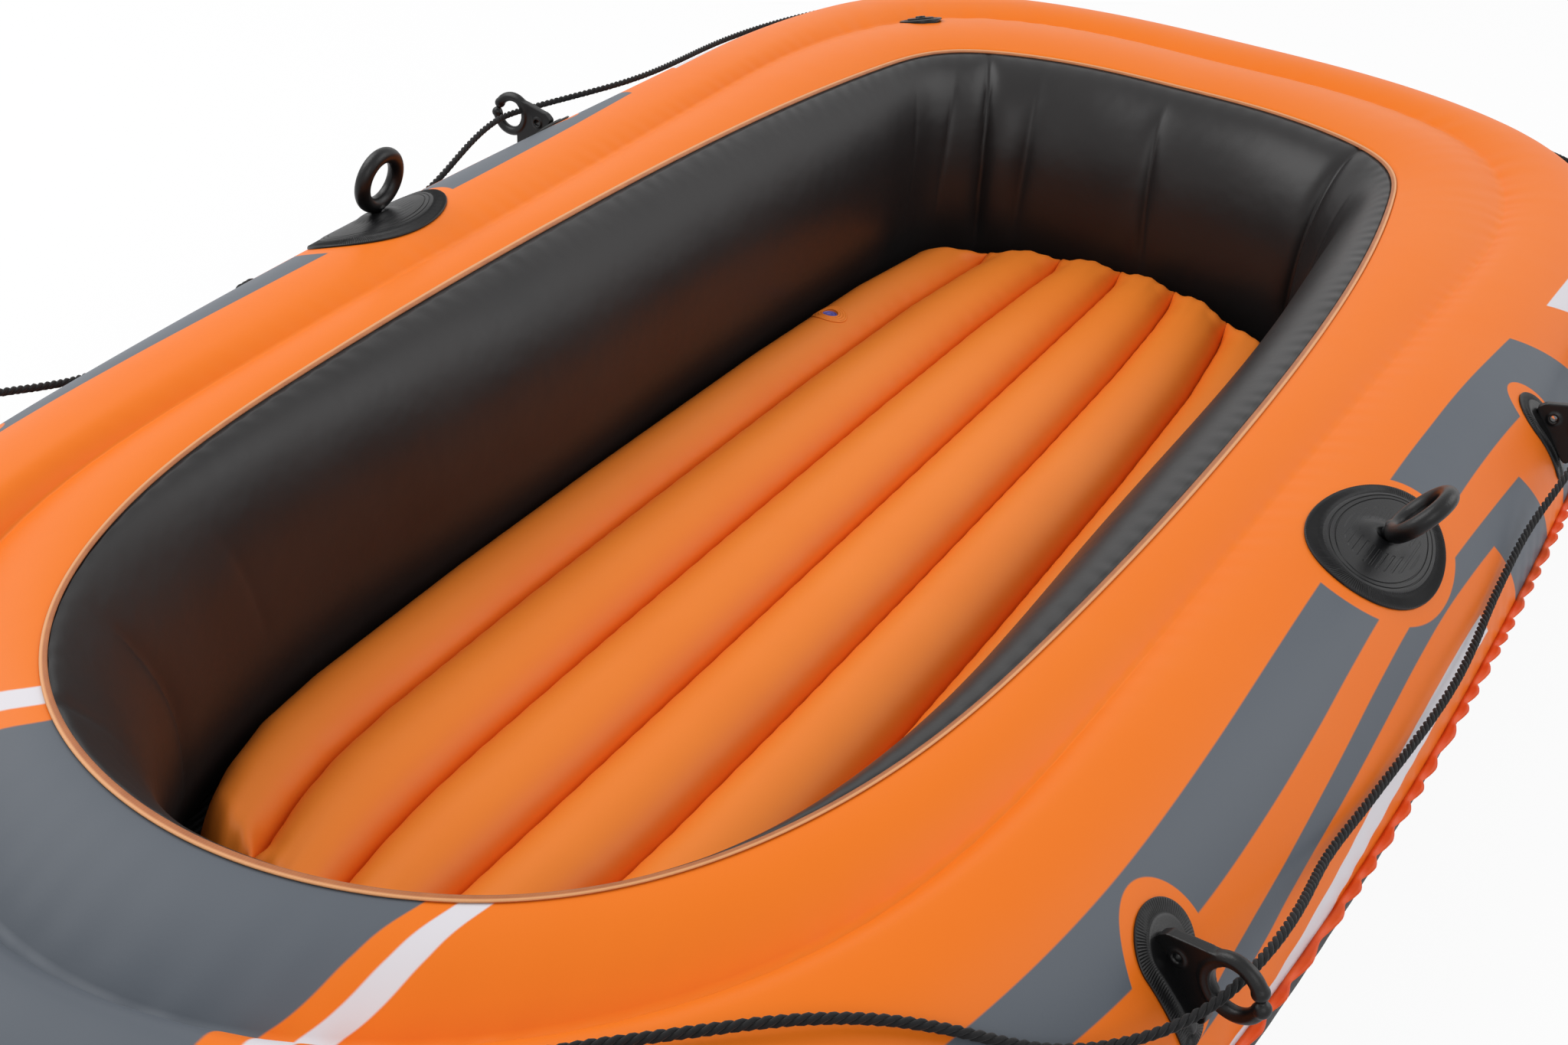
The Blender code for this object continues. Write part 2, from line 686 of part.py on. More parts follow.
def make_oarlock_ring(name, pivot, lean, side, parts, tools):
    """A ring on a short neck whose ball foot sits in the base; it leans outboard from upright."""
    builder = bmesh.new()
    bmesh.ops.create_uvsphere(builder, u_segments=12, v_segments=8, radius=OARLOCK_BALL_RADIUS)
    ring = object_of(name, builder, parts)
    neck = as_tool(
        cylinder(
            name + "_neck", OARLOCK_NECK_RADIUS, OARLOCK_RING_HEIGHT - OARLOCK_RING_RADIUS,
            -OARLOCK_NECK_RADIUS / 2, tools, Matrix.Identity(4),
        )
    )
    bpy.ops.mesh.primitive_torus_add(
        major_radius=OARLOCK_RING_RADIUS, minor_radius=OARLOCK_RING_TUBE,
        major_segments=24, minor_segments=8,
        location=(0, 0, OARLOCK_RING_HEIGHT), rotation=(math.pi / 2, 0, 0),
    )
    loop = as_tool(bpy.context.object)
    loop.name = name + "_loop"
    for collection in list(loop.users_collection):
        collection.objects.unlink(loop)
    tools.objects.link(loop)
    boolean(ring, neck, "UNION")
    boolean(ring, loop, "UNION")
    apply_modifiers(ring)
    finish_material(ring, BLACK, 0.4)
    ring.location = (pivot.x, pivot.y * side, pivot.z)
    ring.rotation_euler = (-lean * side, 0, 0)
    return ring


def arc_tube(name, radius, tube, start, end, frame, collection, steps=14):
    """A bent round bar in the Y-Z plane of a frame, made a mesh with its caps welded."""
    curve = bpy.data.curves.new(name, "CURVE")
    curve.dimensions = "3D"
    curve.bevel_depth = tube
    curve.bevel_resolution = 2
    curve.use_fill_caps = True
    spline = curve.splines.new("POLY")
    spline.points.add(steps)
    for i, angle in enumerate(spread(start, end, steps)):
        spline.points[i].co = (0, radius * math.cos(angle), radius * math.sin(angle), 1)
    return curve_mesh(name, curve, frame, collection)


def curve_mesh(name, curve, place, collection):
    """A curve made a closed mesh object."""
    holder = bpy.data.objects.new(name + "_line", curve)
    collection.objects.link(holder)
    graph = bpy.context.evaluated_depsgraph_get()
    mesh = bpy.data.meshes.new_from_object(holder.evaluated_get(graph))
    bpy.data.objects.remove(holder, do_unlink=True)
    builder = bmesh.new()
    builder.from_mesh(mesh)
    bmesh.ops.remove_doubles(builder, verts=builder.verts, dist=MERGE)
    bmesh.ops.recalc_face_normals(builder, faces=builder.faces)
    return object_of(name, builder, collection, place)


def plate(name, outline, thickness, frame, collection):
    """A flat plate in the Y-Z plane of a frame, as thick along X."""
    builder = bmesh.new()
    ring = [builder.verts.new((-thickness / 2, point.x, point.y)) for point in outline]
    face = builder.faces.new(ring)
    grown = bmesh.ops.extrude_face_region(builder, geom=[face])
    moved = [item for item in grown["geom"] if isinstance(item, bmesh.types.BMVert)]
    bmesh.ops.translate(builder, verts=moved, vec=(thickness, 0, 0))
    bmesh.ops.recalc_face_normals(builder, faces=builder.faces)
    return object_of(name, builder, collection, frame)


def make_clip(label, x, surface, parts, tools):
    """An oar clip: a teardrop pad, a three-cornered web and an open ring that snaps round the oar."""
    along = surface.along_at_x(x)
    wide = CLIP_PAD_WIDTH / 2
    reach = CLIP_PAD_LENGTH / 2
    circles = [(0, -(reach - wide), wide), (0, reach - CLIP_PAD_TAIL, CLIP_PAD_TAIL)]
    name = "oar_clip_port_" + label
    clip = pad(name, surface, along, CLIP_RISE, round_outline(circles, 16), 3, parts)
    frame = surface.frame(along, CLIP_RISE, PAD_LIFT + PAD_THICKNESS)
    base = -PAD_THICKNESS / 2
    thin = CLIP_BODY_THICKNESS / 2
    under_ring = CLIP_RING_DROP * CLIP_WEB_SHARE
    body_circles = [
        (-CLIP_BODY_REACH, base + thin, thin),
        (CLIP_BODY_TAIL, base + thin, thin),
        (-CLIP_BODY_REACH, thin * 2, thin),
        (CLIP_RING_DROP - CLIP_RING_RADIUS, CLIP_RING_HEIGHT, thin),
        (under_ring, CLIP_RING_HEIGHT - CLIP_RING_RADIUS, thin),
    ]
    web = as_tool(plate(name + "_web", round_outline(body_circles, 20), CLIP_BODY_THICKNESS, frame, tools))
    centre = frame @ Matrix.Translation((0, CLIP_RING_DROP, CLIP_RING_HEIGHT))
    half_gap = CLIP_GAP_ANGLE / 2
    ring = as_tool(
        arc_tube(
            name + "_ring", CLIP_RING_RADIUS, CLIP_RING_TUBE, CLIP_GAP_RISE + half_gap,
            CLIP_GAP_RISE + 2 * math.pi - half_gap, centre, tools,
        )
    )
    bore = as_tool(
        cylinder(
            name + "_bore", CLIP_RING_RADIUS - CLIP_RING_TUBE * CLIP_BORE_SHARE, CLIP_BODY_THICKNESS,
            -CLIP_BODY_THICKNESS, tools, centre @ Matrix.Rotation(math.pi / 2, 4, "Y"),
        )
    )
    eye_place = frame @ Matrix.Translation((0, -CLIP_BODY_REACH / 2, thin * 2))
    eye = as_tool(
        cylinder(
            name + "_eye", CLIP_EYE_RADIUS, CLIP_BODY_THICKNESS, -CLIP_BODY_THICKNESS,
            tools, eye_place @ Matrix.Rotation(math.pi / 2, 4, "Y"),
        )
    )
    boolean(clip, web, "UNION")
    boolean(clip, bore, "DIFFERENCE")
    boolean(clip, ring, "UNION")
    boolean(clip, eye, "DIFFERENCE")
    apply_modifiers(clip)
    finish_material(clip, BLACK, 0.4)
    twin = mirrored(clip, name.replace("port", "starboard"), parts)
    twin.data.materials.clear()
    finish_material(twin, BLACK, 0.4)
    return centre


def make_guide(name, along, rise, surface, parts, tools):
    """A rope guide: an oval pad with an arch that the rope runs under."""
    side = GUIDE_PAD_WIDTH / 2
    reach = GUIDE_PAD_LENGTH / 2 - side
    outline = round_outline([(0, -reach, side), (0, reach, side)], 14)
    guide = pad(name, surface, along, rise, outline, 2, parts)
    frame = surface.frame(along, rise, PAD_LIFT + PAD_THICKNESS)
    sunk = []
    for y in (GUIDE_ARCH_RADIUS, -GUIDE_ARCH_RADIUS):
        turn = rise - y / (OUTER_TUBE_WIDTH / 2)
        foot = frame.inverted() @ surface.point(along, turn, PAD_LIFT + PAD_THICKNESS / 2)
        sunk.append(math.asin(-foot.z / GUIDE_ARCH_RADIUS))
    arch = as_tool(
        arc_tube(
            name + "_arch", GUIDE_ARCH_RADIUS, GUIDE_ARCH_TUBE, -sunk[0], math.pi + sunk[1],
            frame, tools, steps=10,
        )
    )
    boolean(guide, arch, "UNION")
    apply_modifiers(guide)
    finish_material(guide, BLACK, 0.45)
    return frame @ Matrix.Translation((0, 0, ROPE_IN_GUIDE))


# The grab rope


def side_places(surface, shares, port):
    """Places beside the tube: x as a share of the half length, rise as a share of a quarter turn."""
    places = []
    for x_share, rise_share in shares:
        along = surface.along_at_x(x_share * HALF_LENGTH)
        place = surface.point(along, rise_share * math.pi / 2, ROPE_STANDOFF)
        places.append(place if port else Vector((place.x, -place.y, place.z)))
    return places


def bow_places(surface, port):
    """Places where the rope lies over the crown of the bow."""
    places = []
    for x_share, y_share in ROPE_BOW_SHARES:
        above = Vector((x_share * HALF_LENGTH, y_share * HALF_WIDTH, 2 * HULL_HEIGHT))
        hit = surface.trees[0].ray_cast(above, Vector((0, 0, -1)))[0]
        height = hit.z + ROPE_DIAMETER / 2 + ROPE_LIFT
        places.append(Vector((hit.x, hit.y if port else -hit.y, height)))
    return places


def through(anchor, port=True):
    """The rope's two places just before and just past the middle of a clip's ring or a guide."""
    ends = [anchor @ Vector((side * ROPE_STRAIGHT, 0, 0)) for side in (1, -1)]
    return ends if port else [Vector((end.x, -end.y, end.z)) for end in ends]


def rope_half(surface, anchors, port):
    """One side's places from the bow to the stern guide; anchors are those of the port side."""
    fore, aft, stern = [through(anchor, port) for anchor in anchors]
    places = bow_places(surface, port) + fore
    places += side_places(surface, ROPE_SIDE_SHARES, port) + aft
    places += side_places(surface, ROPE_QUARTER_SHARES, port) + stern
    start = surface.along_at_x(GUIDE_STERN_X)
    middle = surface.lengths[-1] / 2
    for share, rise_share in ROPE_STERN_SHARES:
        along = start + (middle - start) * share
        place = surface.point(along, rise_share * math.pi / 2, ROPE_STANDOFF)
        places.append(place if port else Vector((place.x, -place.y, place.z)))
    return places


def lifted_off(surface, point):
    """Moves a point of the rope out of the top sheet to where the rope lies clear of it."""
    place, normal, _, _ = surface.trees[0].find_nearest(point)
    least = ROPE_DIAMETER / 2 + ROPE_LIFT
    return point if (point - place).dot(normal) > least else place + normal * least


def make_rope(surface, bow, anchors, parts):
    """The rope runs once round the hull, through every clip and guide, with its ends knotted."""
    port = rope_half(surface, anchors, True)
    starboard = rope_half(surface, anchors, False)
    stern_rise = ROPE_STERN_MIDDLE_SHARE * math.pi / 2
    behind = surface.point(surface.lengths[-1] / 2, stern_rise, ROPE_STANDOFF)
    bow_starboard, bow_port = through(bow)
    places = np.array([bow_port] + port + [behind] + starboard[::-1] + [bow_starboard])
    spans = np.linalg.norm(np.roll(places, -1, axis=0) - places, axis=1)
    knots = np.concatenate([[0], np.cumsum(spans)])
    curve_at = closed_spline(knots, places)
    points = []
    for start, end in zip(knots, knots[1:]):
        steps = max(1, math.ceil((end - start) / ROPE_STEP))
        points += [Vector(curve_at(start + (end - start) * step / steps)) for step in range(steps)]
    points = [lifted_off(surface, point) for point in points]
    curve = bpy.data.curves.new("grab_rope", "CURVE")
    curve.dimensions = "3D"
    curve.bevel_depth = ROPE_DIAMETER / 2
    curve.bevel_resolution = 2
    spline = curve.splines.new("POLY")
    spline.points.add(len(points) - 1)
    spline.use_cyclic_u = True
    for spline_point, point in zip(spline.points, points):
        spline_point.co = (*point, 1)
    rope = curve_mesh("grab_rope", curve, None, parts)
    finish_material(rope, ROPE_BLACK, 0.8)
    length = sum((b - a).length for a, b in zip(points, points[1:] + points[:1]))
    print(f"grab rope: {length:.3f} m in {len(points)} points")
    return points


def make_knot(points, parts):
    """The knot that joins the rope's ends: a short barrel of wraps round the rope."""
    x, y = KNOT_X_SHARE * HALF_LENGTH, -HALF_WIDTH
    pairs = list(zip(points, points[1:]))
    start, end = min(pairs, key=lambda pair: ((pair[0] + pair[1]) / 2 - Vector((x, y, 0))).length)
    axis = (end - start).normalized()
    place = Matrix.Translation((start + end) / 2) @ axis.to_track_quat("Z", "X").to_matrix().to_4x4()
    bore = ROPE_DIAMETER / 2 / math.cos(math.pi / KNOT_SIDES) + GAP
    waist = KNOT_RADIUS - KNOT_GROOVE
    wrap = KNOT_LENGTH / KNOT_WRAPS
    profile = [(bore, KNOT_LENGTH / 2)]
    for i in range(KNOT_WRAPS):
        top = KNOT_LENGTH / 2 - i * wrap
        profile += [(waist, top)] + [(KNOT_RADIUS, top - wrap * share) for share in KNOT_WRAP_SHARES]
    profile += [(waist, -KNOT_LENGTH / 2), (bore, -KNOT_LENGTH / 2)]
    knot = turned("rope_knot", profile, parts, place, closed=True, sides=KNOT_SIDES)
    finish_material(knot, ROPE_BLACK, 0.8)


# Air valves


def sheet_frame(tree, x, y):
    """A frame on the top sheet at a plan place: Z out of the sheet, X away from the cockpit."""
    above = Vector((x, y, 2 * HULL_HEIGHT))
    hit, normal, _, _ = tree.ray_cast(above, Vector((0, 0, -1)))
    if normal.z < 0:
        normal = -normal
    away = Vector((x, y, 0))
    x_axis = (away - normal * away.dot(normal)).normalized()
    turn = Matrix((x_axis, normal.cross(x_axis), normal)).transposed().to_4x4()
    return Matrix.Translation(hit) @ turn


def make_valve(label, x, y, tree, top_sheet, parts, tools):
    """Seat welded in the sheet, screwed body, flap and capped plug of one air valve."""
    frame = sheet_frame(tree, x, y)
    name = label + "_valve_"
    top = VALVE_LIFT + VALVE_FLANGE_THICKNESS
    outer = VALVE_WELL_RADIUS + VALVE_WALL
    foot = top - VALVE_DEPTH
    lip = VALVE_WELL_RADIUS - 2 * VALVE_WALL
    hole = as_tool(
        cylinder(name + "hole", outer + VALVE_CLEARANCE, OVERRUN, -OVERRUN, tools, frame)
    )
    boolean(top_sheet, hole, "DIFFERENCE")

    seat_profile = [
        (VALVE_FLANGE_RADIUS, top), (VALVE_FLANGE_RADIUS, VALVE_LIFT), (outer, VALVE_LIFT),
        (outer, foot), (lip, foot), (lip, foot + VALVE_WALL),
        (VALVE_WELL_RADIUS, foot + VALVE_WALL), (VALVE_WELL_RADIUS, top),
    ]
    seat = turned(name + "seat", seat_profile, parts, frame, closed=True)
    finish_material(seat, BLACK, 0.4)

    body_outer = VALVE_WELL_RADIUS - VALVE_CLEARANCE
    plug_radius = body_outer - VALVE_RIM_WIDTH - VALVE_WALL
    bore = plug_radius + CAP_CLEARANCE
    body_foot = foot + VALVE_WALL + GAP
    floor = body_foot + VALVE_BODY_FLOOR
    body_profile = [
        (body_outer, top), (body_outer, body_foot), (VALVE_PORT_RADIUS, body_foot),
        (VALVE_PORT_RADIUS, floor), (bore, floor), (bore, top),
    ]
    body = turned(name + "body", body_profile, parts, frame, closed=True)
    finish_material(body, BLACK, 0.35)

    flap_radius = (VALVE_PORT_RADIUS + lip) / 2
    flap_top = body_foot - GAP
    flap_profile = [
        (0, flap_top), (flap_radius, flap_top), (flap_radius, flap_top - VALVE_MEMBRANE),
        (0, flap_top - VALVE_MEMBRANE),
    ]
    flap = turned(name + "flap", flap_profile, parts, frame)
    finish_material(flap, SMOKE, 0.5)

    cap_radius = plug_radius + VALVE_RIM_WIDTH / 2
    disc_foot = top + GAP
    disc_top = disc_foot + CAP_THICKNESS
    button_top = disc_top + CAP_BUTTON_HEIGHT
    cap_profile = [
        (0, button_top), (CAP_BUTTON_RADIUS, button_top), (CAP_BUTTON_RADIUS, disc_top),
        (cap_radius, disc_top), (cap_radius, disc_foot), (plug_radius, disc_foot),
        (plug_radius, disc_foot - CAP_PLUG_DEPTH), (0, disc_foot - CAP_PLUG_DEPTH),
    ]
    cap = turned(name + "cap", cap_profile, parts, frame)
    half = CAP_STRAP_WIDTH / 2
    hinge_out = body_outer - GAP
    strap_outline = [
        Vector((y, z)) for y, z in ((-half, disc_foot), (half, disc_foot), (half, disc_top), (-half, disc_top))
    ]
    strap_length = hinge_out - plug_radius
    strap_place = frame @ Matrix.Translation((hinge_out - strap_length / 2, 0, 0))
    strap = as_tool(plate(name + "strap", strap_outline, strap_length, strap_place, tools))
    boolean(cap, strap, "UNION")
    apply_modifiers(cap)
    move_origin(cap, frame @ Matrix.Translation((hinge_out, 0, disc_top)))
    finish_material(cap, BLACK, 0.35)


def make_floor_valve(mattress, parts, tools):
    """A small valve pushed down into the air floor, with a plug in its bore."""
    x = FLOOR_VALVE_X
    width = float(np.interp(x / FLOOR_STERN, FLOOR_PLACE_SHARES, FLOOR_WIDTH_SHARES))
    y = -(1 - 1 / FLOOR_CHANNELS) * width * FLOOR_WIDTH / 2
    top = SHEET + GAP + FLOOR_CROWN
    place = Matrix.Translation((x, y, top))
    foot = -FLOOR_VALVE_DEPTH
    hole = as_tool(
        cylinder("floor_valve_hole", FLOOR_VALVE_RADIUS, OVERRUN, foot, tools, place)
    )
    boolean(mattress, hole, "DIFFERENCE")
    outer = FLOOR_VALVE_RADIUS * math.cos(math.pi / ROUND_SIDES) - GAP
    bore = outer - FLOOR_VALVE_WALL
    rim = -FLOOR_VALVE_SINK
    ledge = rim - FLOOR_PLUG_HEAD - GAP
    neck = bore - FLOOR_VALVE_WALL
    stem_profile = [
        (outer, rim), (outer, foot + GAP), (neck, foot + GAP), (neck, ledge), (bore, ledge), (bore, rim),
    ]
    stem = turned("floor_valve_stem", stem_profile, parts, place, closed=True)
    finish_material(stem, PLUG_BLUE, 0.3)
    head = bore * math.cos(math.pi / ROUND_SIDES) - GAP
    shank = neck * math.cos(math.pi / ROUND_SIDES) - GAP
    plug_profile = [
        (0, rim), (head, rim), (head, ledge + GAP), (shank, ledge + GAP),
        (shank, ledge - FLOOR_PLUG_LENGTH), (0, ledge - FLOOR_PLUG_LENGTH),
    ]
    plug = turned("floor_valve_plug", plug_profile, parts, place)
    finish_material(plug, PLUG_BLUE, 0.3)


def main():
    clear_scene()
    parts = new_collection("inflatable_boat")
    tools = new_collection("cutters")
    lines = HullLines()
    top_sheet, tree, low_tree = make_hull(lines, parts)
    mattress = make_floor(parts)
    make_floor_valve(mattress, parts, tools)
    surface = TubeSurface(lines, tree, low_tree)

    pivot = make_oarlock_base(surface, parts, tools).translation
    make_oarlock_ring("oarlock_ring_port", pivot, OARLOCK_LEAN_PORT, 1, parts, tools)
    make_oarlock_ring("oarlock_ring_starboard", pivot, OARLOCK_LEAN_STARBOARD, -1, parts, tools)

    anchors = [make_clip("fore", CLIP_FORE_X, surface, parts, tools)]
    anchors.append(make_clip("aft", CLIP_AFT_X, surface, parts, tools))
    stern = surface.along_at_x(GUIDE_STERN_X)
    anchors.append(make_guide("rope_guide_stern_port", stern, GUIDE_RISE, surface, parts, tools))
    twin = mirrored(bpy.data.objects["rope_guide_stern_port"], "rope_guide_stern_starboard", parts)
    twin.data.materials.clear()
    finish_material(twin, BLACK, 0.45)
    bow = make_guide("rope_guide_bow", 0, GUIDE_BOW_RISE, surface, parts, tools)
    points = make_rope(surface, bow, anchors, parts)
    make_knot(points, parts)

    make_valve("inner_tube", INNER_VALVE_X, INNER_VALVE_Y, tree, top_sheet, parts, tools)
    make_valve("outer_tube", OUTER_VALVE_X, OUTER_VALVE_Y, tree, top_sheet, parts, tools)


main()
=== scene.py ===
import math

import bmesh
import bpy
import numpy as np
from mathutils import Matrix, Vector


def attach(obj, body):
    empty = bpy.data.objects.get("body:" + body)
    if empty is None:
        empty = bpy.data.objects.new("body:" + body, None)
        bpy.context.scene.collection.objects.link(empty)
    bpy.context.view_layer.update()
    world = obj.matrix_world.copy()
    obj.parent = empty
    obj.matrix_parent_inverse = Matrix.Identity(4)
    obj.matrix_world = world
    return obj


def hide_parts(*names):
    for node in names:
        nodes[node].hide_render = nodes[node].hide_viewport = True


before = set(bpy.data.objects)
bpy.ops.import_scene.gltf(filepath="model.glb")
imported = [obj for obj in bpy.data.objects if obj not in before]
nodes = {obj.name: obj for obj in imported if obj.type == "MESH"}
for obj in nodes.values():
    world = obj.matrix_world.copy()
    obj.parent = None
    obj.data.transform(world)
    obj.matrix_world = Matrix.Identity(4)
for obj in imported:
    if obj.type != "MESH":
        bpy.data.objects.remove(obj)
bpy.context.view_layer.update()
print("frame loaded,", len(nodes), "nodes")

# the camera comes first: a 2048 x 1365 frame, with a focal length of 2750 pixels
cameraPlace = {
    "location": (1.566, 0.631, 1.028),
    "right": (-0.4637, 0.8802, 0.1013),
    "up": (-0.4046, -0.3121, 0.8596),
    "back": (0.7882, 0.3576, 0.5008),
    "lens": 48.34,
    "sensor": 36,
}


def addCamera(place):
    camera = bpy.data.objects.new("camera", bpy.data.cameras.new("camera"))
    bpy.context.scene.collection.objects.link(camera)
    turn = Matrix((place["right"], place["up"], place["back"])).transposed()
    camera.matrix_world = Matrix.Translation(place["location"]) @ turn.normalized().to_4x4()
    camera.data.lens = place["lens"]
    camera.data.sensor_width = place["sensor"]
    bpy.context.scene.camera = camera


addCamera(cameraPlace)


# a socket that takes part in Python sums
class Wire:
    def __init__(self, tree, socket):
        self.tree = tree
        self.socket = socket

    def maths(self, operation, *values):
        node = self.tree.nodes.new("ShaderNodeMath")
        node.operation = operation
        for place, value in zip(node.inputs, values):
            feed(self.tree, place, value)
        return Wire(self.tree, node.outputs[0])

    def __add__(self, other): return self.maths("ADD", self, other)
    def __radd__(self, other): return self.maths("ADD", other, self)
    def __sub__(self, other): return self.maths("SUBTRACT", self, other)
    def __rsub__(self, other): return self.maths("SUBTRACT", other, self)
    def __mul__(self, other): return self.maths("MULTIPLY", self, other)
    def __rmul__(self, other): return self.maths("MULTIPLY", other, self)
    def __truediv__(self, other): return self.maths("DIVIDE", self, other)
    def __neg__(self): return self.maths("MULTIPLY", self, -1)
    def __abs__(self): return self.maths("ABSOLUTE", self)
    def least(self, other): return self.maths("MINIMUM", self, other)
    def most(self, other): return self.maths("MAXIMUM", self, other)
    def sine(self): return self.maths("SINE", self)
    def fraction(self): return self.maths("FRACT", self)

    # 0 to 1 over this width, centred where the value is nought
    def edge(self, width):
        values = {"Value": self, "From Min": -width / 2, "From Max": width / 2}
        return Nodes(self.tree).node("MapRange", {"interpolation_type": "SMOOTHSTEP"}, values)


def feed(tree, place, value):
    if isinstance(value, Wire):
        tree.links.new(value.socket, place)
    elif hasattr(value, "__len__") and len(place.default_value) == 4 and len(value) == 3:
        place.default_value = (*value, 1)
    else:
        place.default_value = value


def linear(red, green, blue):
    shares = [c / 255 for c in (red, green, blue)]
    return tuple(s / 12.92 if s <= 0.04045 else ((s + 0.055) / 1.055) ** 2.4 for s in shares)


# a tree of nodes; every node that isn't maths comes from its one method
class Nodes:
    def __init__(self, tree):
        self.tree = tree

    def node(self, kind, settings=None, values=None, out=0):
        made = self.tree.nodes.new("ShaderNode" + kind)
        for key, value in (settings or {}).items():
            if key == "curve":
                line = made.mapping.curves[0]
                line.points[0].location = value[0]
                line.points[1].location = value[-1]
                for point in value[1:-1]:
                    line.points.new(*point)
                made.mapping.update()
            else:
                setattr(made, key, value)
        for key, value in (values or {}).items():
            feed(self.tree, made.inputs[key], value)
        return Wire(self.tree, made.outputs[out])


shaderSockets = {
    "colour": "Base Color", "roughness": "Roughness", "specular": "Specular IOR Level", "normal": "Normal",
    "coat": "Coat Weight", "sheen": "Sheen Weight", "sheenRoughness": "Sheen Roughness",
}


# one material, whose noises lie on Object coordinates
class Finish(Nodes):
    def __init__(self, name, **sockets):
        self.material = bpy.data.materials.new(name)
        self.material.use_nodes = True
        super().__init__(self.material.node_tree)
        self.shader = self.tree.nodes["Principled BSDF"]
        self.place = self.node("TexCoord", out="Object")
        self.set(**sockets)

    def set(self, **sockets):
        for name, value in sockets.items():
            feed(self.tree, self.shader.inputs[shaderSockets[name]], value)
        return self.material

    def split(self, vector):
        return [self.node("SeparateXYZ", {}, {0: vector}, axis) for axis in "XYZ"]

    def map(self):
        return self.split(self.node("TexCoord", out="UV"))[:2]

    # each colour is a link, or red, green and blue from 0 to 255
    def mix(self, first, second, share):
        first, second = [c if isinstance(c, Wire) else linear(*c) for c in (first, second)]
        return self.node("Mix", {"data_type": "RGBA"}, {0: share, 6: first, 7: second}, 2)

    def curve(self, value, points):
        return self.node("FloatCurve", {"curve": points}, {0: 1, 1: value})

    def noise(self, scale, detail=2, roughness=0.5):
        values = {"Vector": self.place, "Scale": scale, "Detail": detail, "Roughness": roughness}
        return self.node("TexNoise", {}, values)

    def bump(self, height, distance, strength):
        return self.node("Bump", {}, {"Height": height, "Distance": distance, "Strength": strength})


# noises added together, each with its depth, scale, detail and roughness
def layered(f, rows, relief=None):
    for depth, *shape in rows:
        layer = depth * f.noise(*shape)
        relief = layer if relief is None else relief + layer
    return relief


# two tints that cloud together over a grain, and a roughness that follows them
def clouded(f, look, relief=None):
    cloud = f.noise(*look["cloud"])
    if "roughness" in look:
        low, span = look["roughness"]
        f.set(roughness=low + span * cloud)
    colour = f.mix(*look["colours"], cloud)
    return f.set(colour=colour, normal=f.bump(layered(f, look["grain"], relief), *look["bump"]))


# the hull's lines, the same as the solids'
hull = {
    "length": 2.325, "width": 1.15, "height": 0.278, "tube": 0.276, "flange": 0.008,
    "rim": ((0.761, 0), (0.720, 0.264), (0.580, 0.459), (0.357, 0.537), (0.034, 0.565),
            (-0.310, 0.555), (-0.516, 0.515), (-0.632, 0.417), (-0.677, 0.200), (-0.682, 0)),
    "crease": ((0.845, 0), (0.802, 0.275), (0.655, 0.534), (0.396, 0.631), (0.034, 0.663),
               (-0.344, 0.703), (-0.602, 0.692), (-0.770, 0.536), (-0.828, 0.270), (-0.830, 0)),
    "outer": ((1, 0), (0.951, 0.409), (0.753, 0.765), (0.430, 0.927), (0.017, 0.984),
              (-0.361, 1), (-0.688, 0.962), (-0.899, 0.757), (-0.985, 0.383), (-1, 0)),
    "creaseDrop": (0.12, 0.11, 0.07, 0.035, 0.025, 0.025, 0.028, 0.036, 0.04, 0.04),
    "bandSwell": 0.08, "wallSwell": 0.08, "wallButt": 0.001, "wallFoot": math.radians(70),
    "seamRise": math.radians(6), "sheet": 0.0012, "wallDrop": 0.0015,
}


def wholeOutline(shares):
    half = [(x * hull["length"] / 2, y * hull["width"] / 2) for x, y in shares]
    return np.array(half + [(x, -y) for x, y in reversed(half[1:-1])])


# a smooth closed curve through rows of values; it takes shares of the way round
def closedCurve(values, knots):
    steps = np.diff(knots)
    count = len(values)
    matrix = np.zeros((count, count))
    right = np.zeros_like(values)
    for i in range(count):
        after = (i + 1) % count
        matrix[i, i - 1] += steps[i - 1]
        matrix[i, i] += 2 * (steps[i - 1] + steps[i])
        matrix[i, after] += steps[i]
        right[i] = 6 * ((values[after] - values[i]) / steps[i] - (values[i] - values[i - 1]) / steps[i - 1])
    bends = np.linalg.solve(matrix, right)

    def at(share):
        knot = np.mod(np.asarray(share, float), 1) * knots[-1]
        span = np.clip(np.searchsorted(knots, knot, side="right") - 1, 0, count - 1)
        after = (span + 1) % count
        step = steps[span][:, None]
        ahead = (knot - knots[span])[:, None] / step
        behind = 1 - ahead
        straight = behind * values[span] + ahead * values[after]
        bend = (behind**3 - behind) * bends[span] + (ahead**3 - ahead) * bends[after]
        return straight + bend * step**2 / 6

    return at


def knotsOf(points):
    spans = np.linalg.norm(np.roll(points, -1, axis=0) - points, axis=1)
    return np.concatenate([[0], np.cumsum(spans)])


creaseLine = wholeOutline(hull["crease"])
drops = np.array(hull["creaseDrop"] + hull["creaseDrop"][-2:0:-1]) * hull["height"]
hullCurve = closedCurve(
    np.column_stack([wholeOutline(hull["rim"]), creaseLine, wholeOutline(hull["outer"]), drops]),
    knotsOf(creaseLine),
)


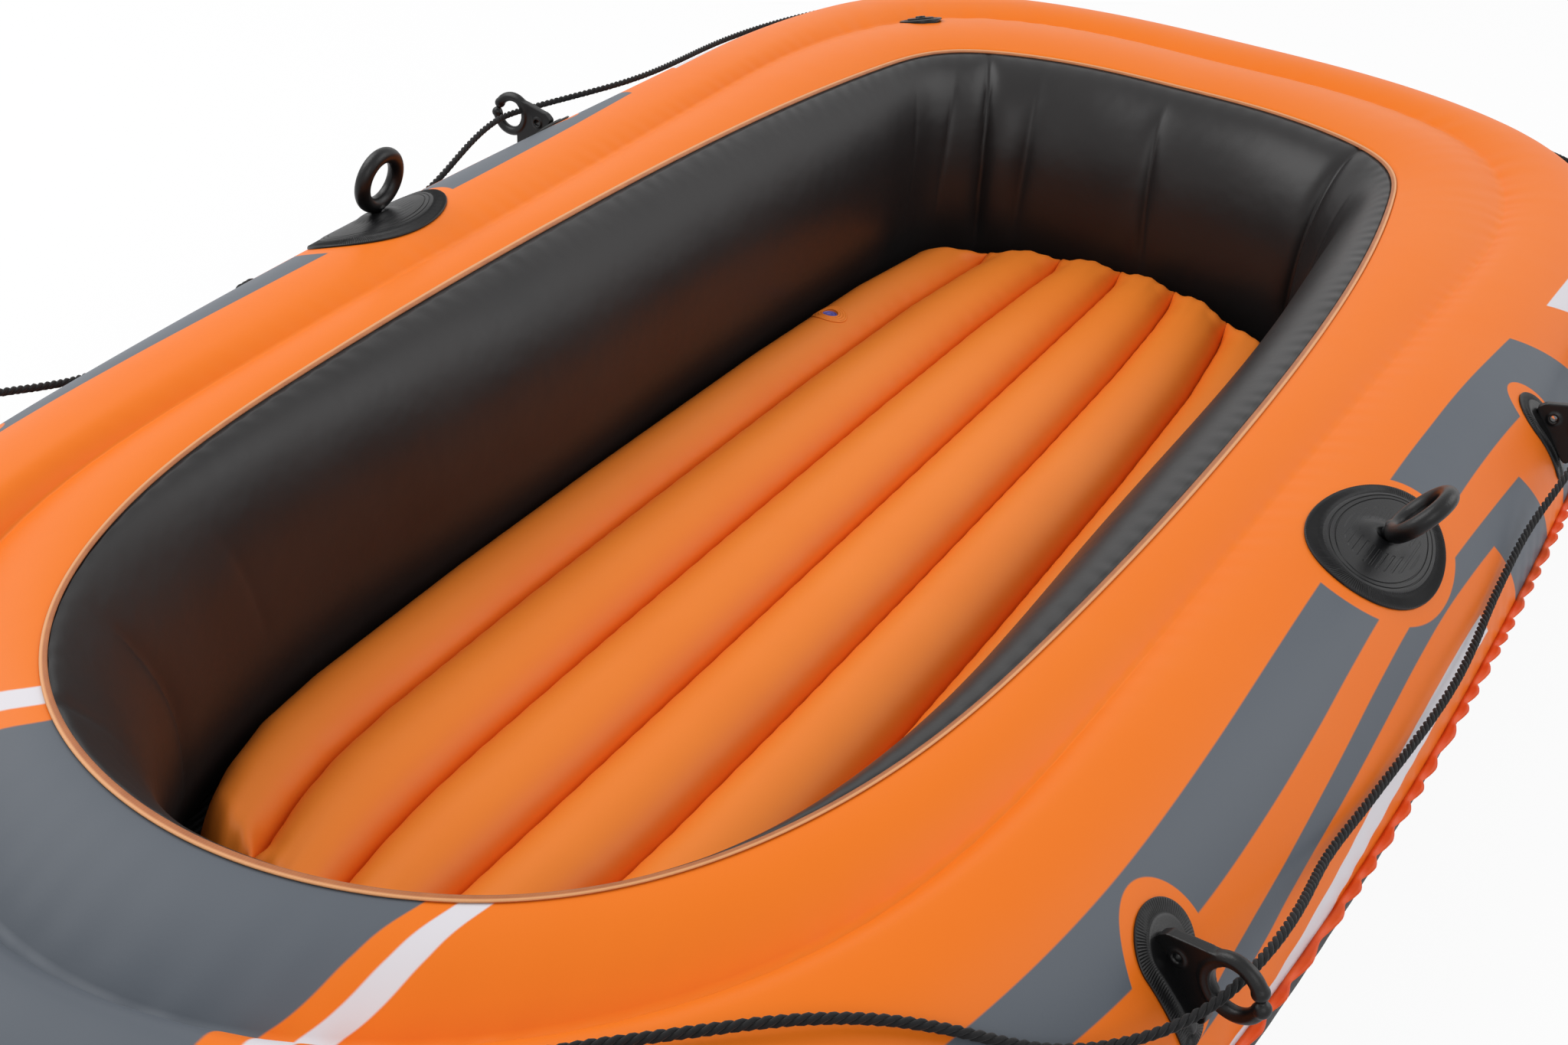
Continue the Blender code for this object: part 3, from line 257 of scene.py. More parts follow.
# everything known of the sections at these shares of the way round
def sections(u):
    values = hullCurve(u)
    rim, crease, outer = values[:, 0:2], values[:, 2:4], values[:, 4:6]
    creaseHeight = hull["height"] - values[:, 6]
    band = np.linalg.norm(crease - rim, axis=1)
    across = (crease - rim) / band[:, None]
    out = outer - crease
    out /= np.linalg.norm(out, axis=1)[:, None]
    half = hull["tube"] / 2
    middle = hull["height"] / 2
    centre = outer - out * (hull["flange"] + half)
    fall = np.arccos((creaseHeight - middle) / middle)
    inner = ((centre - crease) * out).sum(1) / np.sin(fall)
    return {"rim": rim, "across": across, "band": band, "out": out, "centre": centre, "fall": fall,
            "inner": inner, "creaseHeight": creaseHeight, "half": half, "middle": middle}


def withHeight(plan, height):
    return np.column_stack([plan, height])


def bandPoint(s, share):
    plan = s["rim"] + s["across"] * (s["band"] * share)[:, None]
    swell = 4 * hull["bandSwell"] * s["band"] * share * (1 - share)
    return withHeight(plan, hull["height"] + (s["creaseHeight"] - hull["height"]) * share + swell)


def crownPoint(s, share):
    seam = s["middle"] * (1 + math.sin(hull["seamRise"]))
    whole = math.acos((seam - s["middle"]) / s["middle"]) + s["fall"]
    turn = -s["fall"] + share * whole
    reach = np.where(turn > 0, s["half"], s["inner"]) * np.sin(turn)
    return withHeight(s["centre"] + s["out"] * reach[:, None], s["middle"] * (1 + np.cos(turn)))


# v runs 0 to 1 over the band and 1 to 2 over the crown
def topPoint(u, v):
    s = sections(u)
    onBand = bandPoint(s, np.clip(v, 0, 1))
    onCrown = crownPoint(s, np.clip(v - 1, 0, 1))
    return np.where((v <= 1)[:, None], onBand, onCrown)


def bowlPoint(u, v):
    s = sections(u)
    turn = -hull["seamRise"] + v * (math.pi / 2 + hull["seamRise"])
    plan = s["centre"] + s["out"] * (s["half"] * np.cos(turn))[:, None]
    return withHeight(plan, s["middle"] * (1 - np.sin(turn)))


def wallPoint(u, v):
    s = sections(u)
    turn = -hull["wallFoot"] + v * (math.pi / 2 + hull["wallFoot"])
    half = (hull["height"] - hull["wallDrop"]) / (1 + math.sin(hull["wallFoot"]))
    plan = s["rim"] - s["across"] * (hull["wallSwell"] * np.cos(turn) + hull["wallButt"])[:, None]
    return withHeight(plan, hull["height"] - half * (1 - np.sin(turn)))


def normalsOf(place, u, v, step=0.0005):
    alongU = place(u + step, v) - place(u - step, v)
    low, high = np.clip(v - step, 0, 2), np.clip(v + step, 0, 2)
    alongV = place(u, high) - place(u, low)
    normal = np.cross(alongV, alongU)
    return normal / np.maximum(np.linalg.norm(normal, axis=1), 1e-12)[:, None]


# the outer tube's centre line, and places beside it
tubeShares = np.linspace(0, 1, 1441)
tubeCentres = sections(tubeShares)["centre"]
tubeLengths = np.concatenate([[0], np.cumsum(np.linalg.norm(np.diff(tubeCentres, axis=0), axis=1))])


def alongAtX(x):
    half = len(tubeCentres) // 2
    return float(np.interp(-x, -tubeCentres[: half + 1, 0], tubeLengths[: half + 1]))


def tubePoint(along, rise, lift):
    share = np.interp(np.mod(along, tubeLengths[-1]), tubeLengths, tubeShares)
    s = sections(share)
    reach = np.where(np.cos(rise) > 0, s["half"], s["inner"])
    away = 1 / np.sqrt((np.cos(rise) / reach) ** 2 + (np.sin(rise) / s["middle"]) ** 2) + lift
    plan = s["centre"] + s["out"] * (away * np.cos(rise))[:, None]
    return withHeight(plan, s["middle"] + away * np.sin(rise))


def finished(name, builder, material=None, sharp=None):
    mesh = bpy.data.meshes.new(name)
    builder.to_mesh(mesh)
    builder.free()
    mesh.shade_smooth()
    if sharp is not None:
        mesh.set_sharp_from_angle(angle=math.radians(sharp))
    if material is not None:
        mesh.materials.append(material)
    obj = bpy.data.objects.new(name, mesh)
    bpy.context.scene.collection.objects.link(obj)
    return obj


def moved(builder, matrix):
    bmesh.ops.transform(builder, matrix=matrix, verts=builder.verts)
    return builder


def outward(builder):
    bmesh.ops.recalc_face_normals(builder, faces=builder.faces)
    return builder


def welded(builder):
    bmesh.ops.remove_doubles(builder, verts=builder.verts, dist=1e-6)
    return outward(builder)


def mirroredY(builder):
    bmesh.ops.scale(builder, verts=builder.verts, vec=(1, -1, 1))
    bmesh.ops.reverse_faces(builder, faces=builder.faces)
    return builder


# a flat grid bent to place(u, v), where rows holds the v values
# its map is u and v, unless mapAt says otherwise
def bentGrid(steps, rows, place, loop=True, flip=False, capped=False, mapAt=None):
    builder = bmesh.new()
    layer = builder.loops.layers.uv.new("UVMap")
    count = len(rows) - 1
    bmesh.ops.create_grid(builder, x_segments=steps, y_segments=count, size=0.5)
    verts = list(builder.verts)
    flat = np.array([v.co for v in verts])
    u = flat[:, 0] + 0.5
    v = np.asarray(rows, float)[np.rint((flat[:, 1] + 0.5) * count).astype(int)]
    places = place(u, v)
    spots = np.column_stack([u, v]) if mapAt is None else mapAt(u, v)
    builder.verts.index_update()
    for face in builder.faces:
        for corner in face.loops:
            corner[layer].uv = spots[corner.vert.index]
    for vert, point in zip(verts, places):
        vert.co = point
    if loop:
        bmesh.ops.remove_doubles(builder, verts=builder.verts, dist=1e-6)
    if capped:
        rest = [edge for edge in builder.edges if edge.is_boundary]
        bmesh.ops.holes_fill(builder, edges=rest, sides=0)
    if flip:
        bmesh.ops.reverse_faces(builder, faces=builder.faces)
    return builder


def thicken(obj, thickness, side):
    solid = obj.modifiers.new("Thickness", "SOLIDIFY")
    solid.thickness = thickness
    solid.offset = side
    return obj


def settled(obj):
    graph = bpy.context.evaluated_depsgraph_get()
    mesh = bpy.data.meshes.new_from_object(obj.evaluated_get(graph))
    obj.modifiers.clear()
    obj.data = mesh
    return obj


def joinMeshes(builders):
    whole = bmesh.new()
    for builder in builders:
        mesh = bpy.data.meshes.new("part")
        builder.to_mesh(mesh)
        builder.free()
        whole.from_mesh(mesh)
        bpy.data.meshes.remove(mesh)
    return whole


# several closed shapes melted into one smooth moulding
def moulding(name, builders, voxel, rounds, material):
    obj = finished(name, joinMeshes(builders))
    remesh = obj.modifiers.new("Melt", "REMESH")
    remesh.mode = "VOXEL"
    remesh.voxel_size = voxel
    remesh.use_smooth_shade = True
    soften = obj.modifiers.new("Soften", "SMOOTH")
    soften.factor = 0.5
    soften.iterations = rounds
    settled(obj)
    obj.data.materials.append(material)
    return obj


def cutOut(obj, bars):
    cut = finished(obj.name + "Cut", joinMeshes(bars))
    change = obj.modifiers.new("Holes", "BOOLEAN")
    change.operation = "DIFFERENCE"
    change.object = cut
    change.solver = "EXACT"
    settled(obj)
    bpy.data.objects.remove(cut)


# a profile of radii and heights, turned about z
def turned(profile, place, steps, closed=False):
    builder = bmesh.new()
    verts = [builder.verts.new((radius, 0, height)) for radius, height in profile]
    edges = [builder.edges.new(pair) for pair in zip(verts, verts[1:])]
    if closed:
        edges.append(builder.edges.new((verts[-1], verts[0])))
    bmesh.ops.spin(
        builder, geom=verts + edges, cent=(0, 0, 0), axis=(0, 0, 1), angle=math.tau, steps=steps,
        use_merge=True,
    )
    return moved(welded(builder), place)


def bar(radius, length, place, facets=32):
    builder = bmesh.new()
    bmesh.ops.create_cone(
        builder, cap_ends=True, segments=facets, radius1=radius, radius2=radius, depth=length, matrix=place,
    )
    return builder


def ball(centre, radius, squeeze=(1, 1, 1)):
    builder = bmesh.new()
    bmesh.ops.create_uvsphere(builder, u_segments=28, v_segments=18, radius=radius)
    bmesh.ops.scale(builder, verts=builder.verts, vec=squeeze)
    bmesh.ops.translate(builder, verts=builder.verts, vec=centre)
    return builder


# a whole or part ring about axis, which begins at start and sweeps this far
def torus(centre, radius, tube, axis, start, sweep, steps=56, facets=18):
    builder = bmesh.new()
    ahead = Vector(start).normalized()
    side = Vector(axis).normalized()
    place = Matrix((ahead, side.cross(ahead), side)).transposed().to_4x4()
    place = place @ Matrix.Translation((radius, 0, 0)) @ Matrix.Rotation(math.pi / 2, 4, "X")
    made = bmesh.ops.create_circle(builder, segments=facets, radius=tube, matrix=place)
    whole = abs(sweep - math.tau) < 1e-6
    edges = list({edge for vert in made["verts"] for edge in vert.link_edges})
    if not whole:
        bmesh.ops.contextual_create(builder, geom=edges)
    swept = bmesh.ops.spin(
        builder, geom=edges, cent=(0, 0, 0), axis=side, angle=sweep, steps=steps, use_merge=whole,
    )
    if not whole:
        last = [e for e in swept["geom_last"] if isinstance(e, bmesh.types.BMEdge)]
        bmesh.ops.contextual_create(builder, geom=last)
    return moved(welded(builder), Matrix.Translation(centre))


# a place from its middle, its x and its z
def frameOf(origin, ahead, up):
    up = Vector(up).normalized()
    side = up.cross(Vector(ahead)).normalized()
    return Matrix.Translation(origin) @ Matrix((side.cross(up), side, up)).transposed().to_4x4()


sides = {"port": 1, "starboard": -1}


def wear(piece, body, slot, *stoodFor):
    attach(piece, body)
    if stoodFor:
        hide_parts(*stoodFor)
    return piece


# the grab rope: three strands laid along the solids' own route
ropeShape = {
    "strandRadius": 0.00165, "layRadius": 0.00185, "strands": 3, "pitch": 0.021, "step": 0.0029,
    "diameter": 0.007, "length": 5.711,
    "knotMiddle": (0.2013, -0.5462, 0.202), "knotAlong": (0.9974, 0.0709, -0.0159),
    "knotRadius": 0.0062, "knotCord": 0.0031, "knotLength": 0.019, "knotTurns": 3,
    "look": {
        "cloud": (1400,), "colours": ((9, 9, 10), (22, 22, 24)), "grain": ((1, 1400),), "bump": (0.0004, 0.6),
    },
    "route": (
        (1.0988, 0.014, 0.261), (1.0811, 0.0752, 0.2662), (1.0437, 0.1292, 0.2762), (0.9936, 0.1781, 0.2825),
        (0.9416, 0.2242, 0.2847), (0.9043, 0.2597, 0.285), (0.8684, 0.2955, 0.2843), (0.8332, 0.3316, 0.2833),
        (0.7998, 0.3681, 0.2769), (0.77, 0.4057, 0.264), (0.7386, 0.441, 0.2465), (0.6948, 0.4795, 0.2385),
        (0.6437, 0.5088, 0.2422), (0.6171, 0.5168, 0.245), (0.5588, 0.5242, 0.2412), (0.4998, 0.5242, 0.2277),
        (0.4405, 0.5232, 0.2132), (0.3724, 0.5282, 0.204), (0.3041, 0.5352, 0.2007), (0.2356, 0.543, 0.2012),
        (0.1668, 0.5487, 0.2027), (0.1042, 0.5498, 0.2029), (0.0415, 0.5489, 0.2035),
        (-0.0207, 0.5494, 0.2071), (-0.0823, 0.5522, 0.2152), (-0.136, 0.5594, 0.2274),
        (-0.1896, 0.5672, 0.2392), (-0.244, 0.5713, 0.2444), (-0.272, 0.5705, 0.2434),
        (-0.3258, 0.5613, 0.2427), (-0.379, 0.5473, 0.2438), (-0.4322, 0.5354, 0.2449),
        (-0.5036, 0.5313, 0.2439), (-0.5759, 0.5354, 0.241), (-0.6484, 0.5394, 0.2382),
        (-0.7193, 0.5367, 0.2369), (-0.7896, 0.5261, 0.237), (-0.8591, 0.5075, 0.238),
        (-0.9166, 0.4855, 0.2392), (-0.9699, 0.4563, 0.2395), (-1.0152, 0.418, 0.238),
        (-1.0492, 0.3715, 0.2344), (-1.076, 0.3191, 0.2316), (-1.0978, 0.2642, 0.2321),
        (-1.1076, 0.2381, 0.234), (-1.1243, 0.1781, 0.2303), (-1.1338, 0.1342, 0.2246),
        (-1.1411, 0.0901, 0.2191), (-1.1455, 0.0452, 0.215), (-1.1469, 0, 0.2134),
    ),
}


def bevelledTube(name, lines, radius, loop, resolution=2):
    curve = bpy.data.curves.new(name, "CURVE")
    curve.dimensions = "3D"
    curve.bevel_depth = radius
    curve.bevel_resolution = resolution
    curve.use_fill_caps = not loop
    for points in lines:
        spline = curve.splines.new("POLY")
        spline.points.add(len(points) - 1)
        spline.points.foreach_set("co", np.column_stack([points, np.ones(len(points))]).ravel())
        spline.use_cyclic_u = loop
    holder = bpy.data.objects.new(name, curve)
    bpy.context.scene.collection.objects.link(holder)
    graph = bpy.context.evaluated_depsgraph_get()
    mesh = bpy.data.meshes.new_from_object(holder.evaluated_get(graph))
    bpy.data.objects.remove(holder)
    builder = bmesh.new()
    builder.from_mesh(mesh)
    return welded(builder)


# level and upright directions across a closed line
def framesAlong(points):
    ahead = np.roll(points, -1, axis=0) - np.roll(points, 1, axis=0)
    ahead /= np.linalg.norm(ahead, axis=1)[:, None]
    side = np.cross(ahead, (0, 0, 1))
    side /= np.linalg.norm(side, axis=1)[:, None]
    return side, np.cross(side, ahead)


def makeRope(shape):
    material = clouded(
        Finish("ropeFinish", roughness=0.78, specular=0.25, sheen=0.08, sheenRoughness=0.5), shape["look"],
    )
    half = list(shape["route"])
    knots = np.array(half + [(x, -y, z) for x, y, z in reversed(half[:-1])])
    line = closedCurve(knots, knotsOf(knots))
    count = int(shape["length"] / shape["step"])
    shares = np.arange(count) / count
    points = line(shares)
    side, up = framesAlong(points)
    turns = round(shape["length"] / shape["pitch"])
    strands = []
    for strand in range(shape["strands"]):
        angle = math.tau * (shares * turns + strand / shape["strands"])
        offset = side * np.cos(angle)[:, None] + up * np.sin(angle)[:, None]
        strands.append(points + offset * shape["layRadius"])
    rope = finished("grabRope", bevelledTube("grabRope", strands, shape["strandRadius"], True), material)

    along = Vector(shape["knotAlong"]).normalized()
    place = Matrix.Translation(shape["knotMiddle"]) @ along.to_track_quat("Z", "X").to_matrix().to_4x4()
    t = np.linspace(0, 1, 90)
    angle = math.tau * shape["knotTurns"] * t
    across = shape["knotRadius"] * np.column_stack([np.cos(angle), np.sin(angle)])
    wraps = withHeight(across, (t - 0.5) * shape["knotLength"])
    knot = moved(bevelledTube("ropeKnot", [wraps], shape["knotCord"], False, 3), place)
    knot = finished("ropeKnot", knot, material)
    wear(rope, "hull", "rope", "grab_rope")
    wear(knot, "hull", "rope", "rope_knot")


makeRope(ropeShape)
print("rope laid")


# the tubes' skins
skins = {
    "steps": 720, "wallSteps": 1080, "bandRows": 14, "crownRows": 42, "bowlRows": 26, "wallRows": 34,
    "creasePucker": 0.0013, "seamPucker": 0.0026,
    # the deeper orange is both random tone and painted shade on the tube's lower side
    "orange": (234, 121, 29), "deepAndShadedOrange": (231, 102, 5), "grey": (88, 94, 102), "white": (218, 215, 220),
    "creaseWaves": 132, "creaseFall": (0.35, 0.11), "topSeamFall": 0.09, "bowlSeamFall": 0.12, "rimWaves": 88,
    "rimPucker": 0.0012, "rimFall": 0.06,
    "hang": {"bow": 0.995, "reach": 0.085, "fade": 0.012, "depth": 0.72, "fall": 0.34},
    "tube": {
        "cloud": (3.5, 3), "roughness": (0.40, 0.10), "bump": (0.001, 0.85), "grain": ((1.6, 9), (0.05, 420)),
        "seamFrom": 1.80, "seamPuckers": (146, 4, 9, 0.5), "creasePuckers": (168, 6, 12, 0.45),
        # below the crown the orange deepens towards the seam: painted shade of the tube's lower side
        "puckerShare": 0.7, "cloudTint": 0.3, "lowSideShade": 0.35, "shadeMiddle": 1.45, "shadeSpan": 0.9,
    },
    "wall": {
        "cloud": (6, 3), "colours": ((24, 23, 24), (38, 36, 36)), "roughness": (0.34, 0.12),
        "bump": (0.001, 0.9), "grain": ((2.2, 11, 3, 0.55), (0.06, 380)), "rimFrom": 0.86,
        "rimPuckers": (150, 7, 13, 0.5),
    },
    "bottom": {
        "cloud": (7, 3), "colours": ((14, 14, 15), (26, 25, 27)), "roughness": (0.42, 0.12),
        "bump": (0.001, 0.8), "grain": ((1.6, 10), (0.06, 400)), "ribPitch": 0.006, "ribsBelow": 0.004,
        "ribDepth": 0.35,
    },
}

# the thin weld round the cockpit's rim and the scalloped seam outside
welds = {
    "bandStart": -0.0012, "bandWidth": 0.0062, "bandLift": 0.0005, "bandThickness": 0.0009,
    "seamSteps": 2336, "seamWaves": 146, "scallop": 0.0046, "ripple": 0.0022, "seamThickness": 0.0014,
    "unevenness": ((1.2, 17, 0), (0.8, 41, 1)),
    "tan": (188, 116, 66), "brown": (150, 84, 46), "paleEdge": (226, 164, 112), "paleFrom": 0.62,
    "paleSpan": 0.3, "paleShare": 0.85, "grain": (60,), "bump": (0.0004, 0.6), "ridges": 2600,
    "seam": {
        "cloud": (90,), "colours": ((222, 66, 14), (238, 98, 30)), "grain": ((1, 90),), "bump": (0.0004, 0.5),
    },
}

# lines of the printed bands: share of the way round from the bow, and v (1 at the crease, 2 at the seam)
# the edge of the bow's panel is given by v and then the share
prints = {
    "upperTop": ((0.05, 1.66), (0.055, 1.62), (0.08, 1.55), (0.10, 1.495), (0.125, 1.44), (0.15, 1.39),
                 (0.18, 1.335), (0.20, 1.31), (0.22, 1.295), (0.24, 1.288), (0.26, 1.295), (0.28, 1.31),
                 (0.30, 1.34), (0.33, 1.40)),
    "upperFoot": ((0.05, 1.60), (0.055, 1.64), (0.08, 1.66), (0.105, 1.655), (0.1275, 1.635), (0.15, 1.60),
                  (0.17, 1.56), (0.185, 1.53), (0.2, 1.51), (0.22, 1.50), (0.24, 1.50), (0.26, 1.508),
                  (0.28, 1.53), (0.2885, 1.545)),
    "upperInner": (0.2885, 1.545, 0.0222), "upperOuter": (0.312, 1.365, 0.0347), "upperStart": 0.05,
    "lowerTop": ((0.10, 1.90), (0.128, 1.80), (0.134, 1.77), (0.15, 1.72), (0.17, 1.665), (0.19, 1.62),
                 (0.206, 1.60), (0.22, 1.597), (0.2325, 1.605), (0.25, 1.625), (0.27, 1.655)),
    "lowerFoot": ((0.10, 1.96), (0.128, 1.86), (0.138, 1.835), (0.15, 1.79), (0.17, 1.745), (0.19, 1.705),
                  (0.2, 1.69), (0.215, 1.68), (0.23, 1.69), (0.2445, 1.71)),
    "lowerInner": (0.2445, 1.71, 0.0333), "lowerOuter": (0.27, 1.655, 0.0371), "lowerStart": 0.10,
    "stripeTop": ((0.11, 2.03), (0.13, 1.985), (0.147, 1.945), (0.16, 1.905), (0.18, 1.845), (0.2, 1.818),
                  (0.215, 1.81), (0.2285, 1.815)),
    "stripeWidth": 0.09, "stripeStart": 0.11, "stripeEnd": (0.2285, 1.815, 0.038),
    "patchTop": ((0.33, 1.41), (0.35, 1.43), (0.38, 1.48), (0.42, 1.56), (0.46, 1.66), (0.48, 1.72)),
    "patchFoot": ((0.33, 1.56), (0.38, 1.60), (0.42, 1.66), (0.46, 1.70), (0.475, 1.70)),
    "patchStart": (0.335, 1.415, 0.047),
    "bowPort": ((0, 0.0286), (0.07, 0.0281), (0.3, 0.0262), (0.5, 0.0252), (0.83, 0.0232), (1.0, 0.0208),
                (1.12, 0.0194), (1.3, 0.0191), (1.6, 0.0182), (2, 0.0177)),
    "bowStarboard": ((0, 0.031), (0.12, 0.0325), (0.38, 0.0365), (0.83, 0.043), (1.1, 0.041), (2, 0.040)),
    "bowStripe": (0.0038, 0.0080),
    "curveSpan": 2.2, "soft": 0.006, "crisp": 0.0005,
}

# where the welded pads sit, and the room that the print leaves them: length, depth, lift and softness
oarlockPlace = {"x": 0.12, "rise": math.radians(69.5), "room": (0.098, 0.070, 0, 0.04)}
clipPlace = {
    "x": {"fore": 0.579, "aft": -0.25}, "rise": math.radians(39), "room": (0.037, 0.052, -0.1, 0.05),
}

# how much the hull turns at each share, 0 to 1, for where the sheet puckers
bendShares = np.linspace(0, 1, 361)
bendLine = hullCurve(bendShares)[:, 2:4]
bendStep = np.diff(bendLine, axis=0)
bendTurn = np.abs(np.diff(np.unwrap(np.arctan2(bendStep[:, 1], bendStep[:, 0])), append=0))[:-1]
bendTurn = bendTurn / np.linalg.norm(bendStep[:-1], axis=1)
bendTurn = np.convolve(np.concatenate([bendTurn[-12:], bendTurn, bendTurn[:12]]), np.ones(25) / 25, "valid")
bendTurn = np.clip(bendTurn / np.percentile(bendTurn, 92), 0.12, 1)


def bendAt(u):
    return np.interp(np.mod(u, 1), bendShares[1:-1], bendTurn)


# uneven waves round the hull, 0 to 1
def waves(u, count, warp):
    quicker = math.floor(2.3 * warp)
    lean = 2.1 * np.sin(math.tau * (warp * u + 0.13)) + 1.3 * np.sin(math.tau * (quicker * u + 0.4))
    swing = 0.65 + 0.35 * np.sin(math.tau * (warp // 2 * u + 0.3))
    return (0.5 + 0.5 * np.sin(math.tau * count * u + lean)) * swing


def seamPhase(u):
    turn = math.tau * u
    uneven = sum(size * np.sin(pace * turn + start) for size, pace, start in welds["unevenness"])
    return welds["seamWaves"] * turn + uneven


# how deep the sheet puckers this far from the outer seam
def seamPucker(u, away, fall):
    swell = 0.5 - 0.5 * np.cos(seamPhase(u))
    return skins["seamPucker"] * (0.35 + 0.65 * bendAt(u)) * np.exp(-away / fall) * swell


def topSkinPoint(u, v):
    inside, outside = skins["creaseFall"]
    crease = skins["creasePucker"] * bendAt(u) * np.exp(-np.abs(v - 1) / np.where(v < 1, inside, outside))
    depth = crease * waves(u, skins["creaseWaves"], 11) + seamPucker(u, 2 - v, skins["topSeamFall"])
    depth *= np.clip((2 - v) / 0.01, 0, 1) * np.clip(v / 0.05, 0, 1)
    return topPoint(u, v) - normalsOf(topPoint, u, v) * depth[:, None]


def bowlSkinPoint(u, v):
    depth = seamPucker(u, v, skins["bowlSeamFall"]) * np.clip(v / 0.02, 0, 1)
    return bowlPoint(u, v) + normalsOf(bowlPoint, u, v) * depth[:, None]


# each fold of the cockpit's wall: share round at its top and foot, v at its top and foot, depth, half width
wallFolds = (
    (0.437, 0.437, 1.0, 0.28, 0.017, 0.0032), (0.501, 0.495, 0.74, 0.33, 0.010, 0.0030),
    (0.545, 0.545, 0.77, 0.31, 0.009, 0.0028), (0.562, 0.557, 0.98, 0.27, 0.017, 0.0032),
    (0.5735, 0.575, 0.74, 0.44, 0.005, 0.0018), (0.595, 0.595, 0.68, 0.52, 0.004, 0.0018),
    (0.938, 0.933, 0.66, 0.31, 0.011, 0.0030), (0.965, 0.964, 1.0, 0.72, 0.005, 0.0018),
    (0.063, 0.067, 0.72, 0.30, 0.010, 0.0030), (0.421, 0.423, 0.70, 0.42, 0.004, 0.0018),
    (0.905, 0.903, 0.62, 0.45, 0.004, 0.0018), (0.096, 0.095, 0.60, 0.44, 0.004, 0.0018),
)


# 1 down to 0 as a value rises through nought
def fadeOut(value):
    return 1 / (1 + np.exp(value))


# near the bow the wall hangs straight from the rim before it swells
def wallHang(u, v, hang):
    turn = -hull["wallFoot"] + v * (math.pi / 2 + hull["wallFoot"])
    bow = fadeOut((np.abs((u - hang["bow"] + 0.5) % 1 - 0.5) - hang["reach"]) / hang["fade"])
    swell = hull["wallSwell"] * np.cos(turn)
    return hang["depth"] * bow * swell * np.exp(-(((1 - v) / hang["fall"]) ** 2))


def wallSkinPoint(u, v):
    depth = wallHang(u, v, skins["hang"])
    for topShare, footShare, topV, footV, deep, wide in wallFolds:
        ahead = np.clip((v - footV) / (topV - footV), 0, 1)
        apart = np.abs(u - (footShare + (topShare - footShare) * ahead))
        taper = 0.05 if topV < 1 else 0.015
        window = fadeOut(-(v - footV) / 0.035) * fadeOut((v - topV) / taper)
        depth += window * deep * (np.exp(-apart / wide) - 0.22 * np.exp(-((apart / (4 * wide)) ** 2)))
    rim = skins["rimPucker"] * bendAt(u) * waves(u, skins["rimWaves"], 9)
    depth += rim * np.exp(-(1 - v) / skins["rimFall"]) * np.clip((1 - v) / 0.01, 0, 1)
    return wallPoint(u, v) + withHeight(sections(u)["across"] * depth[:, None], np.zeros(len(u)))


# short waves across a seam: how many, how far a noise of some scale bends them, and their depth
def puckers(f, u, near, count, bend, scale, depth):
    phase = u * (math.tau * count) + bend * f.noise(scale, 1)
    return phase.sine() * near * near * depth


